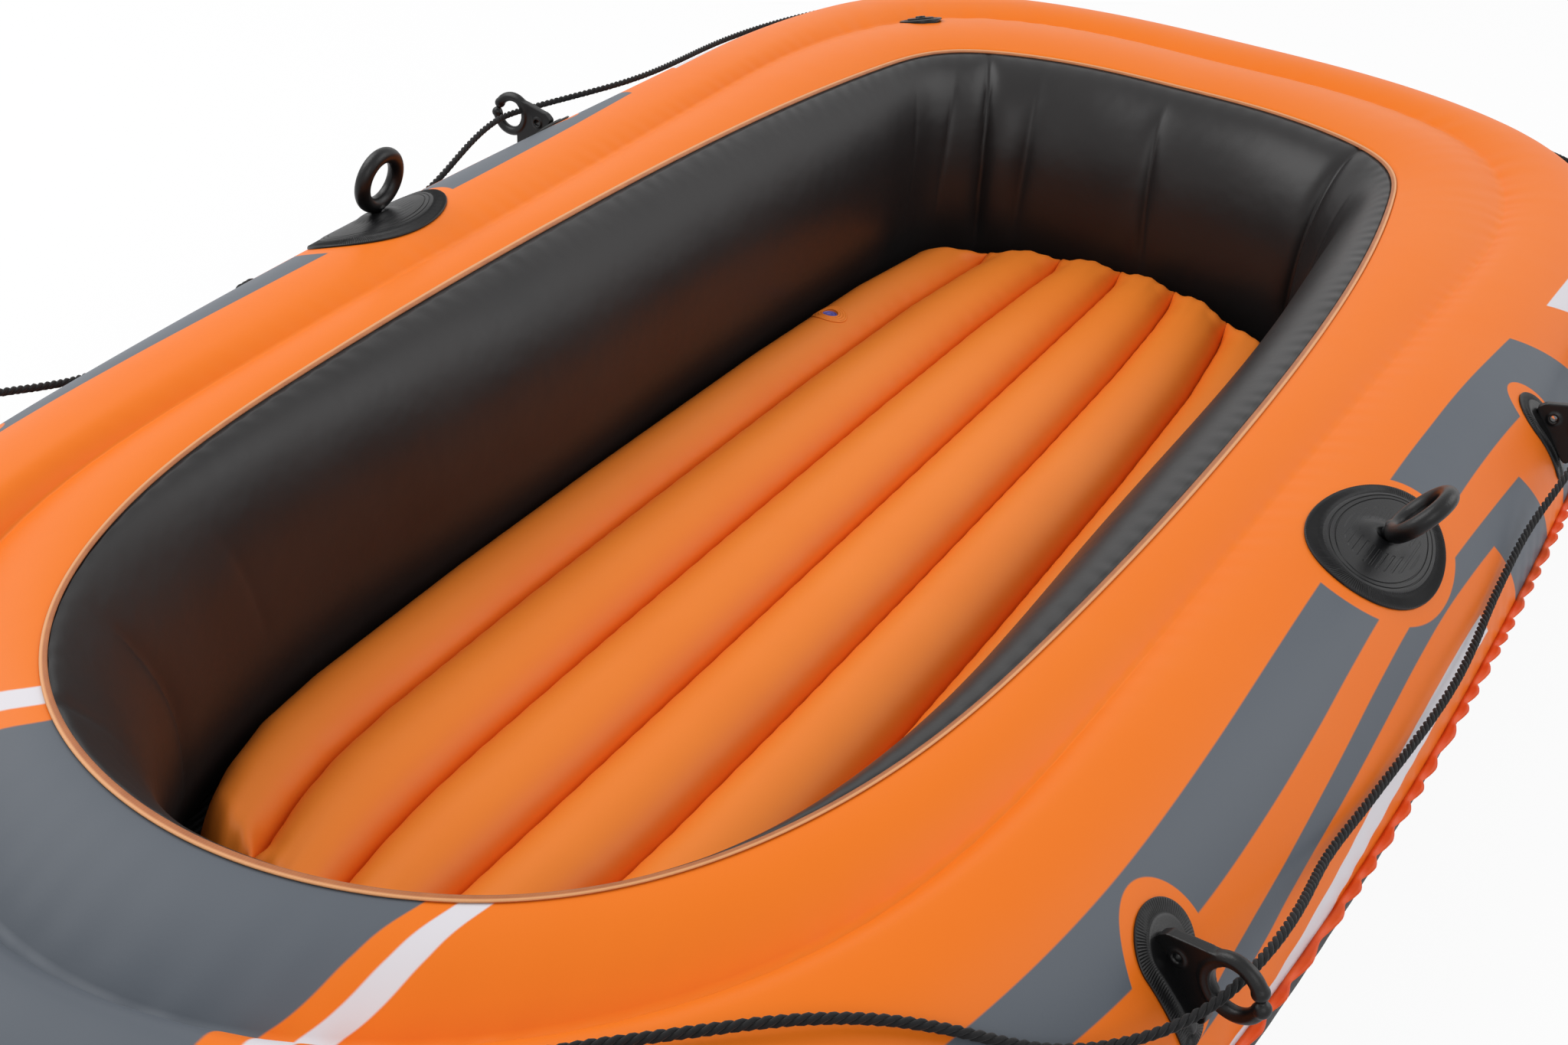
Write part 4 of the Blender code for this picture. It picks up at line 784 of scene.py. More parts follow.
# the printed bands and stripes, painted shade down the tube's lower side, and the fine drape of the vinyl
def tubeFinish(look):
    f = Finish("orangeVinyl", specular=0.17)
    u, t = f.map()
    v = t * 2
    w = u.least(1 - u)
    span, soft, crisp = prints["curveSpan"], prints["soft"], prints["crisp"]

    def under(name):
        return v - span * f.curve(w * 2, [(2 * a, b / span) for a, b in prints[name]])

    def past(name):
        share, level, lean = prints[name]
        return w - share - (v - level) * lean

    def bandOf(name):
        low = (-under(name + "Foot")).edge(soft).most(past(name + "Inner").edge(crisp))
        inside = under(name + "Top").edge(soft) * (-past(name + "Outer")).edge(crisp)
        return inside * low * (w - prints[name + "Start"]).edge(crisp)

    def clearOf(x, rise, length, depth, lift, softness):
        share = float(np.interp(alongAtX(x), tubeLengths, tubeShares))
        behind, ahead = np.interp((share - 0.005, share + 0.005), tubeShares, tubeLengths)
        fall = float(sections([share])["fall"][0])
        whole = math.pi / 2 - hull["seamRise"] + fall
        level = 1 + (math.pi / 2 - rise + fall) / whole
        across = (w - share) * (-(ahead - behind) / 0.01 / length)
        down = (v - level) * (whole * hull["tube"] / 2 / depth) - lift
        return (1 - across * across - down * down).edge(softness)

    grey = bandOf("upper").most(bandOf("lower"))
    stripe = under("stripeTop")
    white = stripe.edge(soft) * (prints["stripeWidth"] - stripe).edge(soft)
    white = white * (-past("stripeEnd")).edge(crisp) * (w - prints["stripeStart"]).edge(crisp)
    patch = under("patchTop").edge(soft) * (-under("patchFoot")).edge(soft)
    white = white.most(patch * past("patchStart").edge(crisp))

    starboard = (u - 0.5).edge(0.001)
    bows = [prints[name] for name in ("bowPort", "bowStarboard")]
    bows = [f.curve(t, [(a / 2, b * 10) for a, b in points]) / 10 for points in bows]
    bowEdge = bows[0] * (1 - starboard) + bows[1] * starboard
    panel = (bowEdge - w).edge(crisp)
    first, last = prints["bowStripe"]
    white = white.most((w - bowEdge - first).edge(crisp) * (bowEdge + last - w).edge(crisp))

    # the print stops short of the welded pads
    clear = clearOf(oarlockPlace["x"], oarlockPlace["rise"], *oarlockPlace["room"])
    for x in clipPlace["x"].values():
        clear = clear.most(clearOf(x, clipPlace["rise"], *clipPlace["room"]))

    cloud = f.noise(*look["cloud"])
    low, spread = look["roughness"]
    # a random cloud of deeper orange, plus painted shade that deepens the orange from the crown down to the
    # seam
    toneAndShade = look["cloudTint"] * cloud + look["lowSideShade"] * (v - look["shadeMiddle"]).edge(look["shadeSpan"])
    orange = f.mix(skins["orange"], skins["deepAndShadedOrange"], toneAndShade)
    colour = f.mix(orange, skins["grey"], (grey * (1 - clear)).most(panel))
    colour = f.mix(colour, skins["white"], white * (1 - clear))

    seamward = ((v - look["seamFrom"]) * 5).most(0).least(1)
    creaseward = (1 - abs(v - 1) * 4.5).most(0)
    pucker = puckers(f, u, seamward, *look["seamPuckers"]) + puckers(f, u, creaseward, *look["creasePuckers"])
    relief = layered(f, look["grain"], pucker * look["puckerShare"])
    return f.set(colour=colour, roughness=low + spread * cloud, normal=f.bump(relief, *look["bump"]))


def wallFinish(look):
    f = Finish("cockpitVinyl", specular=0.3)
    u, v = f.map()
    rimward = ((v - look["rimFrom"]) * 7).most(0).least(1)
    return clouded(f, look, puckers(f, u, rimward, *look["rimPuckers"]))


def bottomFinish(look):
    f = Finish("bottomVinyl", specular=0.25)
    _, y, z = f.split(f.place)
    ribs = (y * (math.tau / look["ribPitch"])).sine()
    flat = (look["ribsBelow"] - z).edge(look["ribsBelow"])
    return clouded(f, look, ribs * flat * look["ribDepth"])


def evenRows(count):
    return np.linspace(0, 1, count + 1)


def makeSkins():
    crownRows = 1 + (1 - np.cos(math.pi * evenRows(skins["crownRows"]))) / 2
    crownRows = 0.4 * crownRows + 0.6 * (1 + evenRows(skins["crownRows"]))
    rows = np.concatenate([evenRows(skins["bandRows"])[:-1], crownRows])
    top = bentGrid(
        skins["steps"], rows, topSkinPoint, flip=True, mapAt=lambda u, v: np.column_stack([u, v / 2]),
    )
    bowl = bentGrid(skins["steps"], evenRows(skins["bowlRows"]), bowlSkinPoint, flip=True)
    low = [edge for edge in bowl.edges if edge.is_boundary and edge.verts[0].co.z < 0.05]
    bmesh.ops.holes_fill(bowl, edges=low, sides=0)
    wall = bentGrid(skins["wallSteps"], evenRows(skins["wallRows"]), wallSkinPoint, flip=True)
    made = (
        ("topSkin", top, tubeFinish(skins["tube"])),
        ("bottomSkin", outward(bowl), bottomFinish(skins["bottom"])),
        ("cockpitWall", wall, wallFinish(skins["wall"])),
    )
    return [thicken(finished(*piece), hull["sheet"], -1) for piece in made]


topSkin, bottomSkin, cockpitWall = makeSkins()
wear(bottomSkin, "hull", "black_vinyl", "bottom_sheet")
wear(cockpitWall, "hull", "black_vinyl", "inner_wall")
print("skins bent")


# the brown weld at the rim and the scalloped seam outside
def rimBandPoint(u, v):
    s = sections(u)
    reach = welds["bandStart"] + welds["bandWidth"] * v
    points = bandPoint(s, reach / s["band"])
    return points + withHeight(np.zeros((len(u), 2)), welds["bandLift"] * np.ones(len(u)))


def seamPoint(u, v):
    s = sections(u)
    phase = seamPhase(u)
    tooth = np.abs((phase / math.tau) % 1 * 2 - 1)
    notch = 0.5 * (0.5 - 0.5 * np.cos(phase)) + 0.5 * (1 - tooth)
    inside = -hull["sheet"] + (hull["flange"] + hull["sheet"]) * v - welds["scallop"] * notch * v**2
    seam = s["middle"] * (1 + math.sin(hull["seamRise"]))
    plan = s["centre"] + s["out"] * (s["half"] + inside)[:, None]
    return withHeight(plan, seam + welds["ripple"] * np.sin(phase + 0.8) * v)


def bandFinish():
    f = Finish("weldBand", roughness=0.42, specular=0.3)
    u, v = f.map()
    grain = f.noise(*welds["grain"])
    brown = f.mix(welds["tan"], welds["brown"], grain)
    pale = (v - welds["paleFrom"]).edge(welds["paleSpan"]) * welds["paleShare"]
    ridge = abs((u * welds["ridges"]).fraction() - 0.5) * 0.5
    return f.set(colour=f.mix(brown, welds["paleEdge"], pale), normal=f.bump(ridge + grain, *welds["bump"]))


seamFinish = clouded(Finish("seamFlange", roughness=0.45, specular=0.25), welds["seam"])
rimBand = finished("rimBand", bentGrid(skins["steps"], evenRows(4), rimBandPoint, flip=True), bandFinish())
wear(thicken(rimBand, welds["bandThickness"], 1), "hull", "weld_band", "rim_seam")
seamGrid = bentGrid(welds["seamSteps"], evenRows(3), seamPoint, flip=True)
seamFlange = finished("seamFlange", seamGrid, seamFinish)
wear(thicken(seamFlange, welds["seamThickness"], 0), "hull", "orange_vinyl", "outer_seam")
print("welds made")


# the air floor: six channels, crimped at both ends
floorShape = {
    "channels": 6, "width": 0.513, "stern": 0.725, "bow": 0.755, "crown": 0.085, "valley": 0.055,
    "rounding": 0.045, "crimp": 0.005, "base": 0.0015, "horn": 0.007, "hornWidth": 0.07, "weldStart": 0.062,
    "weldFade": 0.03, "swellBack": 0.8, "flankPucker": 0.0006, "flankPitch": 0.034, "endRipple": 0.0019,
    "endRippleFall": 0.035,
    "places": (-1, -0.81, -0.62, -0.3, 0.14, 0.4, 0.66, 0.75, 0.82, 0.88, 0.93, 1),
    "widths": (0.8, 0.91, 0.975, 1.01, 1.02, 1.015, 0.99, 0.96, 0.90, 0.82, 0.74, 0.6),
    "lines": (0, 0.17, 0.5, 0.83, 1), "sternEnds": (1, 1, 0.966, 0.883, 0.828),
    "bowEnds": (1, 1, 0.985, 0.945, 0.9),
    "linesPerChannel": 26, "endRows": 14, "middleRows": 250, "endShare": 0.1,
    "orange": (245, 136, 46), "deep": (224, 98, 18), "weld": (146, 92, 44), "weldLine": 0.026,
    "weldFrom": 0.08, "weldTo": 0.92,
    "cloud": (5, 3), "roughness": (0.38, 0.12), "cloudShade": 0.3, "valleyShade": 0.45, "valleyShadeTo": 0.24,
    "grain": ((1.1, 12), (0.05, 420)), "bump": (0.001, 0.9),
}


def floorWidthAt(x):
    reach = np.where(x < 0, floorShape["stern"], floorShape["bow"])
    return np.interp(x / reach, floorShape["places"], floorShape["widths"]) * floorShape["width"] / 2


def floorEnd(line, reach, shares):
    whole = reach * np.interp(np.abs(line), floorShape["lines"], shares)
    place = (line + 1) / 2 * floorShape["channels"]
    fromWeld = np.abs(place - np.rint(place))
    inner = np.abs(line) < 1 - 1 / floorShape["channels"]
    horn = floorShape["horn"] * np.exp(-((fromWeld / floorShape["hornWidth"]) ** 2)) * inner
    return whole - floorShape["crimp"] * np.abs(np.cos(math.pi * place)) ** 3 + horn


def floorHeight(line, inside):
    place = (line + 1) / 2 * floorShape["channels"]
    across = 2 * (place - np.floor(np.minimum(place, floorShape["channels"] - 1e-9))) - 1
    roundShare = np.sqrt(np.clip(1 - across**2, 0, 1))
    valley = np.where(np.abs(line) > 1 - 1 / floorShape["channels"], 0, floorShape["valley"])
    # past the end of a weld the sheet swells up again, so only a crease runs on to the edge
    free = np.clip((floorShape["weldStart"] - inside) / floorShape["weldFade"], 0, 1)
    valley = valley + (floorShape["crown"] - valley) * floorShape["swellBack"] * free * free * (valley > 0)
    height = valley + (floorShape["crown"] - valley) * roundShare
    endShare = 1 - np.clip(inside / floorShape["rounding"], 0, 1)
    return height * np.sqrt(1 - endShare**2), roundShare


def endPlace(share):
    return floorShape["rounding"] * (1 - np.cos(math.pi / 2 * np.clip(share, 0, 1)))


# v is 0 to 1 along each line, from stern to bow, with a share of it for each rounded end
def floorPoint(u, v):
    line = np.interp(u, np.linspace(0, 1, len(floorLines)), floorLines)
    stern = -floorEnd(line, floorShape["stern"], floorShape["sternEnds"])
    bow = floorEnd(line, floorShape["bow"], floorShape["bowEnds"])
    straight = bow - stern - 2 * floorShape["rounding"]
    share = floorShape["endShare"]
    x = stern + endPlace(v / share) + straight * np.clip((v - share) / (1 - 2 * share), 0, 1)
    x = np.where(v > 1 - share, bow - endPlace((1 - v) / share), x)
    inside = np.maximum(np.minimum(x - stern, bow - x), 0)
    height, roundShare = floorHeight(line, inside)
    # puckers down the flanks, then short ripples at the ends
    phase = math.tau * x / floorShape["flankPitch"] + 5 * line + 1.7 * np.sin(math.tau * x / 0.21 + 9 * line)
    steep = (1 - roundShare) * np.clip(roundShare / 0.12, 0, 1)
    height = height + floorShape["flankPucker"] * steep * np.sin(phase) * np.clip(height / 0.03, 0, 1)
    ripple = np.sin(4 * math.pi * (line + 1) * floorShape["channels"])
    ripple = ripple * np.exp(-inside / floorShape["endRippleFall"])
    height = height + floorShape["endRipple"] * ripple * np.clip(height / 0.02, 0, 1)
    edge = (np.abs(line) >= 1) | (v <= 0) | (v >= 1)
    return np.column_stack([x, line * floorWidthAt(x), floorShape["base"] + np.where(edge, 0, height)])


def spreadLines(channels, count):
    fractions = (1 - np.cos(math.pi * np.arange(count) / count)) / 2
    starts = np.repeat(np.arange(channels), count)
    return np.append((starts + np.tile(fractions, channels)) / channels * 2 - 1, 1)


floorLines = spreadLines(floorShape["channels"], floorShape["linesPerChannel"])


def floorFinish(look):
    f = Finish("floorVinyl", specular=0.24)
    u, _ = f.map()
    channel = (u * look["channels"]).fraction()
    fromWeld = channel.least(1 - channel)
    inner = (u - look["weldFrom"]).edge(0.01) * (look["weldTo"] - u).edge(0.01)
    weld = (look["weldLine"] - fromWeld).edge(0.02) * inner
    cloud = f.noise(*look["cloud"])
    shade = (look["valleyShadeTo"] - fromWeld).edge(0.3) * look["valleyShade"] + look["cloudShade"] * cloud
    colour = f.mix(f.mix(look["orange"], look["deep"], shade), look["weld"], weld)
    low, spread = look["roughness"]
    relief = layered(f, look["grain"])
    return f.set(colour=colour, roughness=low + spread * cloud, normal=f.bump(relief, *look["bump"]))


def makeFloor(shape):
    ends = shape["endShare"] * evenRows(shape["endRows"])
    middle = shape["endShare"] + (1 - 2 * shape["endShare"]) * evenRows(shape["middleRows"])
    rows = np.concatenate([ends[:-1], middle, 1 - ends[::-1][1:]])
    builder = bentGrid(len(floorLines) - 1, rows, floorPoint, loop=False, capped=True)
    return finished("airFloor", outward(builder), floorFinish(shape))


airFloor = makeFloor(floorShape)
floorMaterial = airFloor.data.materials[0]
print("air floor made")


# welded pads: a ribbed border, grooves, and a boss where something stands on the pad
# first the band round a row of circles, as even steps of centre, direction and radius
def bandOutline(circles, steps):
    centres, normals, radii = [], [], []
    last = None
    for angle in np.linspace(0, math.tau, 721):
        out = np.array((math.cos(angle), math.sin(angle)))
        found = max(circles, key=lambda c: c[0] * out[0] + c[1] * out[1] + c[2])
        if last is not None and found is not last:
            for share in np.linspace(0.04, 0.96, 24):
                centres.append(np.array(last[:2]) * (1 - share) + np.array(found[:2]) * share)
                radii.append(last[2] * (1 - share) + found[2] * share)
                normals.append(out)
        centres.append(np.array(found[:2]))
        radii.append(found[2])
        normals.append(out)
        last = found
    centres, normals, radii = np.array(centres), np.array(normals), np.array(radii)
    points = centres + normals * radii[:, None]
    lengths = np.concatenate([[0], np.cumsum(np.linalg.norm(np.diff(points, axis=0), axis=1))])
    even = np.linspace(0, lengths[-1], steps + 1)
    table = np.column_stack([centres, normals, radii])
    table = np.column_stack([np.interp(even, lengths, column) for column in table.T])
    return table[:, 0:2], table[:, 2:4], table[:, 4:5]


# x and y in metres, x forward and y down the side; heights are above the tube's skin
def makePad(shape, along, rise, side):
    steps = shape["steps"]
    centres, normals, radii = bandOutline(shape["circles"], steps)
    border = shape["border"]
    lowest = centres + normals * (radii - border[-1][0])
    toBoss = lowest / np.linalg.norm(lowest, axis=1)[:, None]
    rib = np.clip(0.5 + 0.75 * np.cos(math.tau * shape["ribs"] * evenRows(steps)), 0, 1)
    start, end = shape["ribZone"]
    layers, heights = [], []
    for inset, height in border:
        layers.append(centres + normals * (radii - inset))
        raised = shape["ribHeight"] * rib if start < inset < end else np.zeros(len(rib))
        heights.append(height + raised)
    bossRadius = shape["boss"][0][0]
    for share in shape["field"]:
        layers.append(lowest * (1 - share) + toBoss * bossRadius * share)
        heights.append(np.full(len(rib), border[-1][1]))
    for radius, height in shape["boss"]:
        layers.append(toBoss * radius)
        heights.append(np.full(len(rib), border[-1][1] + height))
    layers, heights = np.array(layers), np.array(heights)

    def pick(u, v):
        column = np.rint(u * steps).astype(int)
        row = np.rint(v).astype(int)
        return layers[row, column], heights[row, column]

    def place(u, v):
        spot, height = pick(u, v)
        points = tubePoint(along - spot[:, 0], rise - spot[:, 1] / (hull["tube"] / 2), height)
        return points * (1, side, 1)

    def mapAt(u, v):
        return pick(u, v)[0] / shape["mapSize"] + 0.5

    return outward(bentGrid(steps, np.arange(len(layers)), place, capped=True, mapAt=mapAt))


def mouldedFinish(name, tone, roughness):
    look = {
        "cloud": (30, 3), "colours": (tone, [c + 6 for c in tone]), "roughness": (roughness - 0.06, 0.14),
        "grain": ((1, 900),), "bump": (0.0003, 0.35),
    }
    return clouded(Finish(name, specular=0.3), look)


# the oarlock pads carry a field of fine lines round the boss
def padFinish(shape):
    f = Finish("padVinyl", specular=0.22)
    x, y = [(place - 0.5) * shape["mapSize"] for place in f.map()]
    lines = ((y * (1 / shape["linePitch"])).fraction() - 0.5) * 2
    lines = (0.36 - abs(lines)).edge(0.2)
    field = (shape["fieldTo"] - (x * x * shape["fieldSquash"] + y * y)).edge(0.0001)
    field = field * (x * x + y * y - shape["fieldFrom"]).edge(0.00006)
    return clouded(f, shape["look"], lines * field * shape["lineDepth"])


# circles whose band is an ellipse
def ellipse(length, depth):
    focus = length * length - depth * depth
    places = [focus / length * i / 10 for i in range(-10, 11)]
    return [(x, 0, depth * math.sqrt(1 - x * x / focus)) for x in places]


oarlockPad = {
    "circles": ellipse(0.084, 0.056),
    "steps": 1150, "ribs": 230, "ribZone": (0.0012, 0.0128), "ribHeight": 0.0009, "mapSize": 0.25,
    # the field of lines: its pitch and depth, and the squares of the distances that it lies between
    "linePitch": 0.0052, "lineDepth": -0.6, "fieldFrom": 0.00042, "fieldTo": 0.00085, "fieldSquash": 0.42,
    "look": {
        "cloud": (30, 3), "colours": ((12, 12, 13), (21, 21, 23)), "roughness": (0.36, 0.12),
        "grain": ((0.2, 600),), "bump": (0.0007, 0.8),
    },
    "border": (
        (0, 0.0004), (0, 0.0014), (0.0006, 0.0019), (0.0013, 0.0017), (0.004, 0.0017), (0.008, 0.0018),
        (0.0125, 0.0018), (0.0132, 0.0029), (0.0138, 0.0033), (0.0162, 0.0033), (0.0166, 0.0026),
        (0.0172, 0.0026), (0.0176, 0.0033), (0.0206, 0.0033), (0.021, 0.0026), (0.0216, 0.0026),
        (0.022, 0.0033), (0.0245, 0.0034),
    ),
    "field": (0.06, 0.2, 0.4, 0.6, 0.8, 0.92),
    "boss": (
        (0.026, 0), (0.0235, 0.0003), (0.021, 0.0009), (0.0185, 0.0017), (0.016, 0.0025), (0.0135, 0.0031),
        (0.0115, 0.0034), (0.0095, 0.0034), (0.0082, 0.0031), (0.0072, 0.0022), (0.005, 0.0008), (0.002, 0),
        (0, -0.0003),
    ),
}

padMaterial = padFinish(oarlockPad)
mouldedBlack = mouldedFinish("mouldedBlack", (9, 9, 10), 0.34)
valveBlack = mouldedFinish("valveBlack", (9, 9, 10), 0.28)
for label, side in sides.items():
    pad = makePad(oarlockPad, alongAtX(oarlockPlace["x"]), oarlockPlace["rise"], side)
    pad = finished("oarlockPad." + label, pad, padMaterial, 50)
    wear(pad, "hull", "black_moulding", "oarlock_base_" + label)


# oarlock rings: ball foot, waisted neck and ring
ringShape = {
    "radius": 0.024, "tube": 0.0073, "height": 0.0295, "ball": 0.006, "voxel": 0.0009,
    "neck": ((0.0052, 0.0004), (0.0062, 0.0014), (0.0082, 0.0028), (0.0088, 0.0044), (0.0078, 0.006)),
    "neckFoot": -0.0016, "neckTop": 0.009,
    "pivot": (0.115607, 0.468284, 0.27744),
    "leans": {"port": (0.766044, -0.642788, 1), "starboard": (0.990268, -0.139173, -1)},
}


def makeRing(label, shape, material):
    neck = [(0, shape["neckFoot"]), *shape["neck"], (0, shape["neckTop"])]
    parts = [
        ball((0, 0, 0), shape["ball"]),
        turned(neck, Matrix.Identity(4), 28),
        torus((0, 0, shape["height"]), shape["radius"], shape["tube"], (0, 1, 0), (1, 0, 0), math.tau),
    ]
    ring = moulding("oarlockRing." + label, parts, shape["voxel"], 6, material)
    cosine, sine, side = shape["leans"][label]
    x, y, z = shape["pivot"]
    hinge = Matrix(((1, 0, 0), (0, cosine, -sine), (0, sine, cosine))).to_4x4()
    ring.data.transform(Matrix.Translation((x, y * side, z)) @ hinge)
    return wear(ring, "oar_ring_" + label, "black_moulding", "oarlock_ring_" + label)


for label in sides:
    makeRing(label, ringShape, mouldedBlack)
print("oarlocks made")


# oar clips: teardrop pad, three-cornered web, open ring with a hooked lip
clipShape = {
    "circles": ((0, -0.018, 0.026), (0, 0.032, 0.012)), "steps": 660, "ribs": 110, "ribZone": (0.001, 0.0088),
    "ribHeight": 0.0006, "mapSize": 0.12,
    "border": (
        (0, 0.0004), (0, 0.0014), (0.0006, 0.0019), (0.0012, 0.0017), (0.0045, 0.0017), (0.0085, 0.0018),
        (0.0092, 0.003), (0.0098, 0.0034), (0.0112, 0.0034),
    ),
    "field": (0.2, 0.5, 0.8),
    "boss": ((0.009, 0), (0.006, 0.0002), (0.003, 0.0003), (0, 0.0003)),
    "ringRadius": 0.0185, "ringTube": 0.005, "ringAt": (0, 0.009, 0.036), "gapMiddle": math.radians(60),
    "gap": math.radians(34), "thick": 0.008, "voxel": 0.0008,
    "collar": {"out": 0.0036, "wider": 0.0005, "tube": 0.0019}, "tip": 0.0056, "hook": 0.0012,
    "eyeRim": {"out": 0.0042, "radius": 0.0046, "tube": 0.0013},
    "web": ((-0.024, 0.0026, 0.0042), (0.026, 0.0026, 0.0042), (-0.024, 0.008, 0.004),
            (-0.0095, 0.036, 0.004), (0.0045, 0.0175, 0.004)),
    "eyeAt": (0, -0.013, 0.0085), "eyeRadius": 0.0030,
    "frames": {
        "fore": ((0.6192, 0.4811, 0.2279), (0.9529, -0.2851, -0.1034), (0.2846, 0.7232, 0.6293)),
        "aft": ((-0.2564, 0.5373, 0.2282), (0.9989, 0.0291, 0.0363), (-0.0455, 0.7758, 0.6293)),
    },
}


def acrossX(y, z):
    return Matrix.Translation((0, y, z)) @ Matrix.Rotation(math.pi / 2, 4, "Y")


def makeClipBody(shape):
    web = bmesh.new()
    for y, z, radius in shape["web"]:
        bmesh.ops.create_cone(
            web, cap_ends=True, segments=20, radius1=radius, radius2=radius, depth=shape["thick"],
            matrix=acrossX(y, z),
        )
    hullOf = bmesh.ops.convex_hull(web, input=web.verts)
    inside = [g for g in hullOf["geom_interior"] + hullOf["geom_unused"] if isinstance(g, bmesh.types.BMVert)]
    bmesh.ops.delete(web, geom=list(set(inside)), context="VERTS")
    loose = [f for f in web.faces if all(len(e.link_faces) > 2 for e in f.edges)]
    bmesh.ops.delete(web, geom=loose, context="FACES_ONLY")
    body = finished("clipWeb", outward(web))
    _, ringY, ringZ = shape["ringAt"]
    _, eyeY, eyeZ = shape["eyeAt"]
    radius, tube = shape["ringRadius"], shape["ringTube"]
    cutOut(body, [
        bar(radius - 0.9 * tube, 0.02, acrossX(ringY, ringZ), 48),
        bar(shape["eyeRadius"], 0.03, acrossX(eyeY, eyeZ), 24),
    ])
    trimmed = bmesh.new()
    trimmed.from_mesh(body.data)
    bpy.data.objects.remove(body)

    first = shape["gapMiddle"] + shape["gap"] / 2
    sweep = math.tau - shape["gap"]
    start = (0, math.cos(first), math.sin(first))
    parts = [trimmed, torus(shape["ringAt"], radius, tube, (1, 0, 0), start, sweep)]
    # a thin collar round both faces of the ring, the eye's rim, and the rounded and hooked tips
    collar, rim = shape["collar"], shape["eyeRim"]
    for face in (-1, 1):
        middle = (face * collar["out"], ringY, ringZ)
        parts.append(torus(middle, radius + collar["wider"], collar["tube"], (1, 0, 0), start, sweep))
        middle = (face * rim["out"], eyeY, eyeZ)
        parts.append(torus(middle, rim["radius"], rim["tube"], (1, 0, 0), (0, 1, 0), math.tau, 28, 10))
    for angle, away in ((first, radius), (first + sweep, radius + shape["hook"])):
        tip = (0, ringY + away * math.cos(angle), ringZ + away * math.sin(angle))
        parts.append(ball(tip, shape["tip"], (1.05, 1, 1)))
    return moulding("clipBody", parts, shape["voxel"], 5, mouldedBlack)


clipBody = makeClipBody(clipShape)
for end, axes in clipShape["frames"].items():
    for label, side in sides.items():
        builder = bmesh.new()
        builder.from_mesh(clipBody.data)
        moved(builder, frameOf(*axes))
        if side < 0:
            mirroredY(builder)
        pad = makePad(clipShape, alongAtX(clipPlace["x"][end]), clipPlace["rise"], side)
        clip = finished("oarClip." + label + "." + end, joinMeshes([builder, pad]), mouldedBlack, 50)
        wear(clip, "hull", "black_moulding", "oar_clip_" + label + "_" + end)
bpy.data.objects.remove(clipBody)
print("oar clips made")


# rope guides: oval pads with an arch over the rope
# each guide has where it stands, its rise and side, and its arch's place, x and z
sternGuide = ((-1.10274, 0.25115, 0.23309), (0.3502, 0.9342, -0.0676), (-0.7009, 0.3092, 0.6428))
guideShape = {
    "circles": ((0, -0.015, 0.015), (0, 0.015, 0.015)), "steps": 420, "ribs": 70, "ribZone": (0.0008, 0.0048),
    "ribHeight": 0.0005, "mapSize": 0.08,
    "border": ((0, 0.0004), (0, 0.0014), (0.0005, 0.0018), (0.001, 0.0016), (0.0045, 0.0017), (0.005, 0.0026),
               (0.0056, 0.003), (0.007, 0.003)),
    "field": (0.4, 0.8), "boss": ((0.005, 0), (0.0025, 0.0001), (0, 0.0001)),
    "archRadius": 0.0145, "archTube": 0.0034, "drop": 0.0057, "sink": 0.14,
    "guides": {
        "stern_port": (alongAtX(-1.0), math.radians(40), 1, *sternGuide),
        "stern_starboard": (alongAtX(-1.0), math.radians(40), -1, *sternGuide),
        "bow": (0, math.radians(56), 1, (1.09877, 0, 0.26096), (0, -1, 0), (0.5592, 0, 0.829)),
    },
}

for label, (along, rise, side, *axes) in guideShape["guides"].items():
    sink = guideShape["sink"]
    arch = torus(
        (0, 0, 0), guideShape["archRadius"], guideShape["archTube"], (1, 0, 0),
        (0, math.cos(-sink), math.sin(-sink)), math.pi + 2 * sink, 40, 16,
    )
    moved(arch, frameOf(*axes) @ Matrix.Translation((0, 0, -guideShape["drop"])))
    if side < 0:
        mirroredY(arch)
    pad = makePad(guideShape, along, rise, side)
    guide = finished("ropeGuide." + label, joinMeshes([arch, pad]), mouldedBlack, 50)
    wear(guide, "hull", "black_moulding", "rope_guide_" + label)
print("rope guides made")


# air valves: welded seat, screwed body, and a cap on a strap; their flaps stay as the solids have them
valveShape = {
    "seat": ((0.0212, 0.0030), (0.0216, 0.0034), (0.0246, 0.0034), (0.0258, 0.0028), (0.0260, 0.0010),
             (0.0226, 0.0006), (0.0226, -0.0172), (0.0178, -0.0172), (0.0178, -0.0156), (0.021, -0.0156),
             (0.021, 0.0026)),
    "bodyOuter": 0.0205, "bore": 0.0142, "port": 0.009, "foot": -0.0153, "floor": -0.0128, "top": 0.0028,
    "capRadius": 0.0162, "plugRadius": 0.0134, "capFoot": 0.0031, "capTop": 0.0051, "buttonRadius": 0.006,
    "button": 0.0071, "strap": 0.008, "hingeOut": 0.0202, "grips": 10,
    "hole": 0.0232, "gripFrom": 0.55, "gripDepth": 0.0011,
    "frames": {
        "inner": ((-0.797, -0.337, 0.279051), (-0.915253, -0.332453, -0.227567),
                  (-0.133, -0.283857, 0.949598)),
        "outer": ((0.87, -0.345, 0.264092), (0.911836, -0.246784, -0.328105), (0.213709, -0.39706, 0.892565)),
    },
}


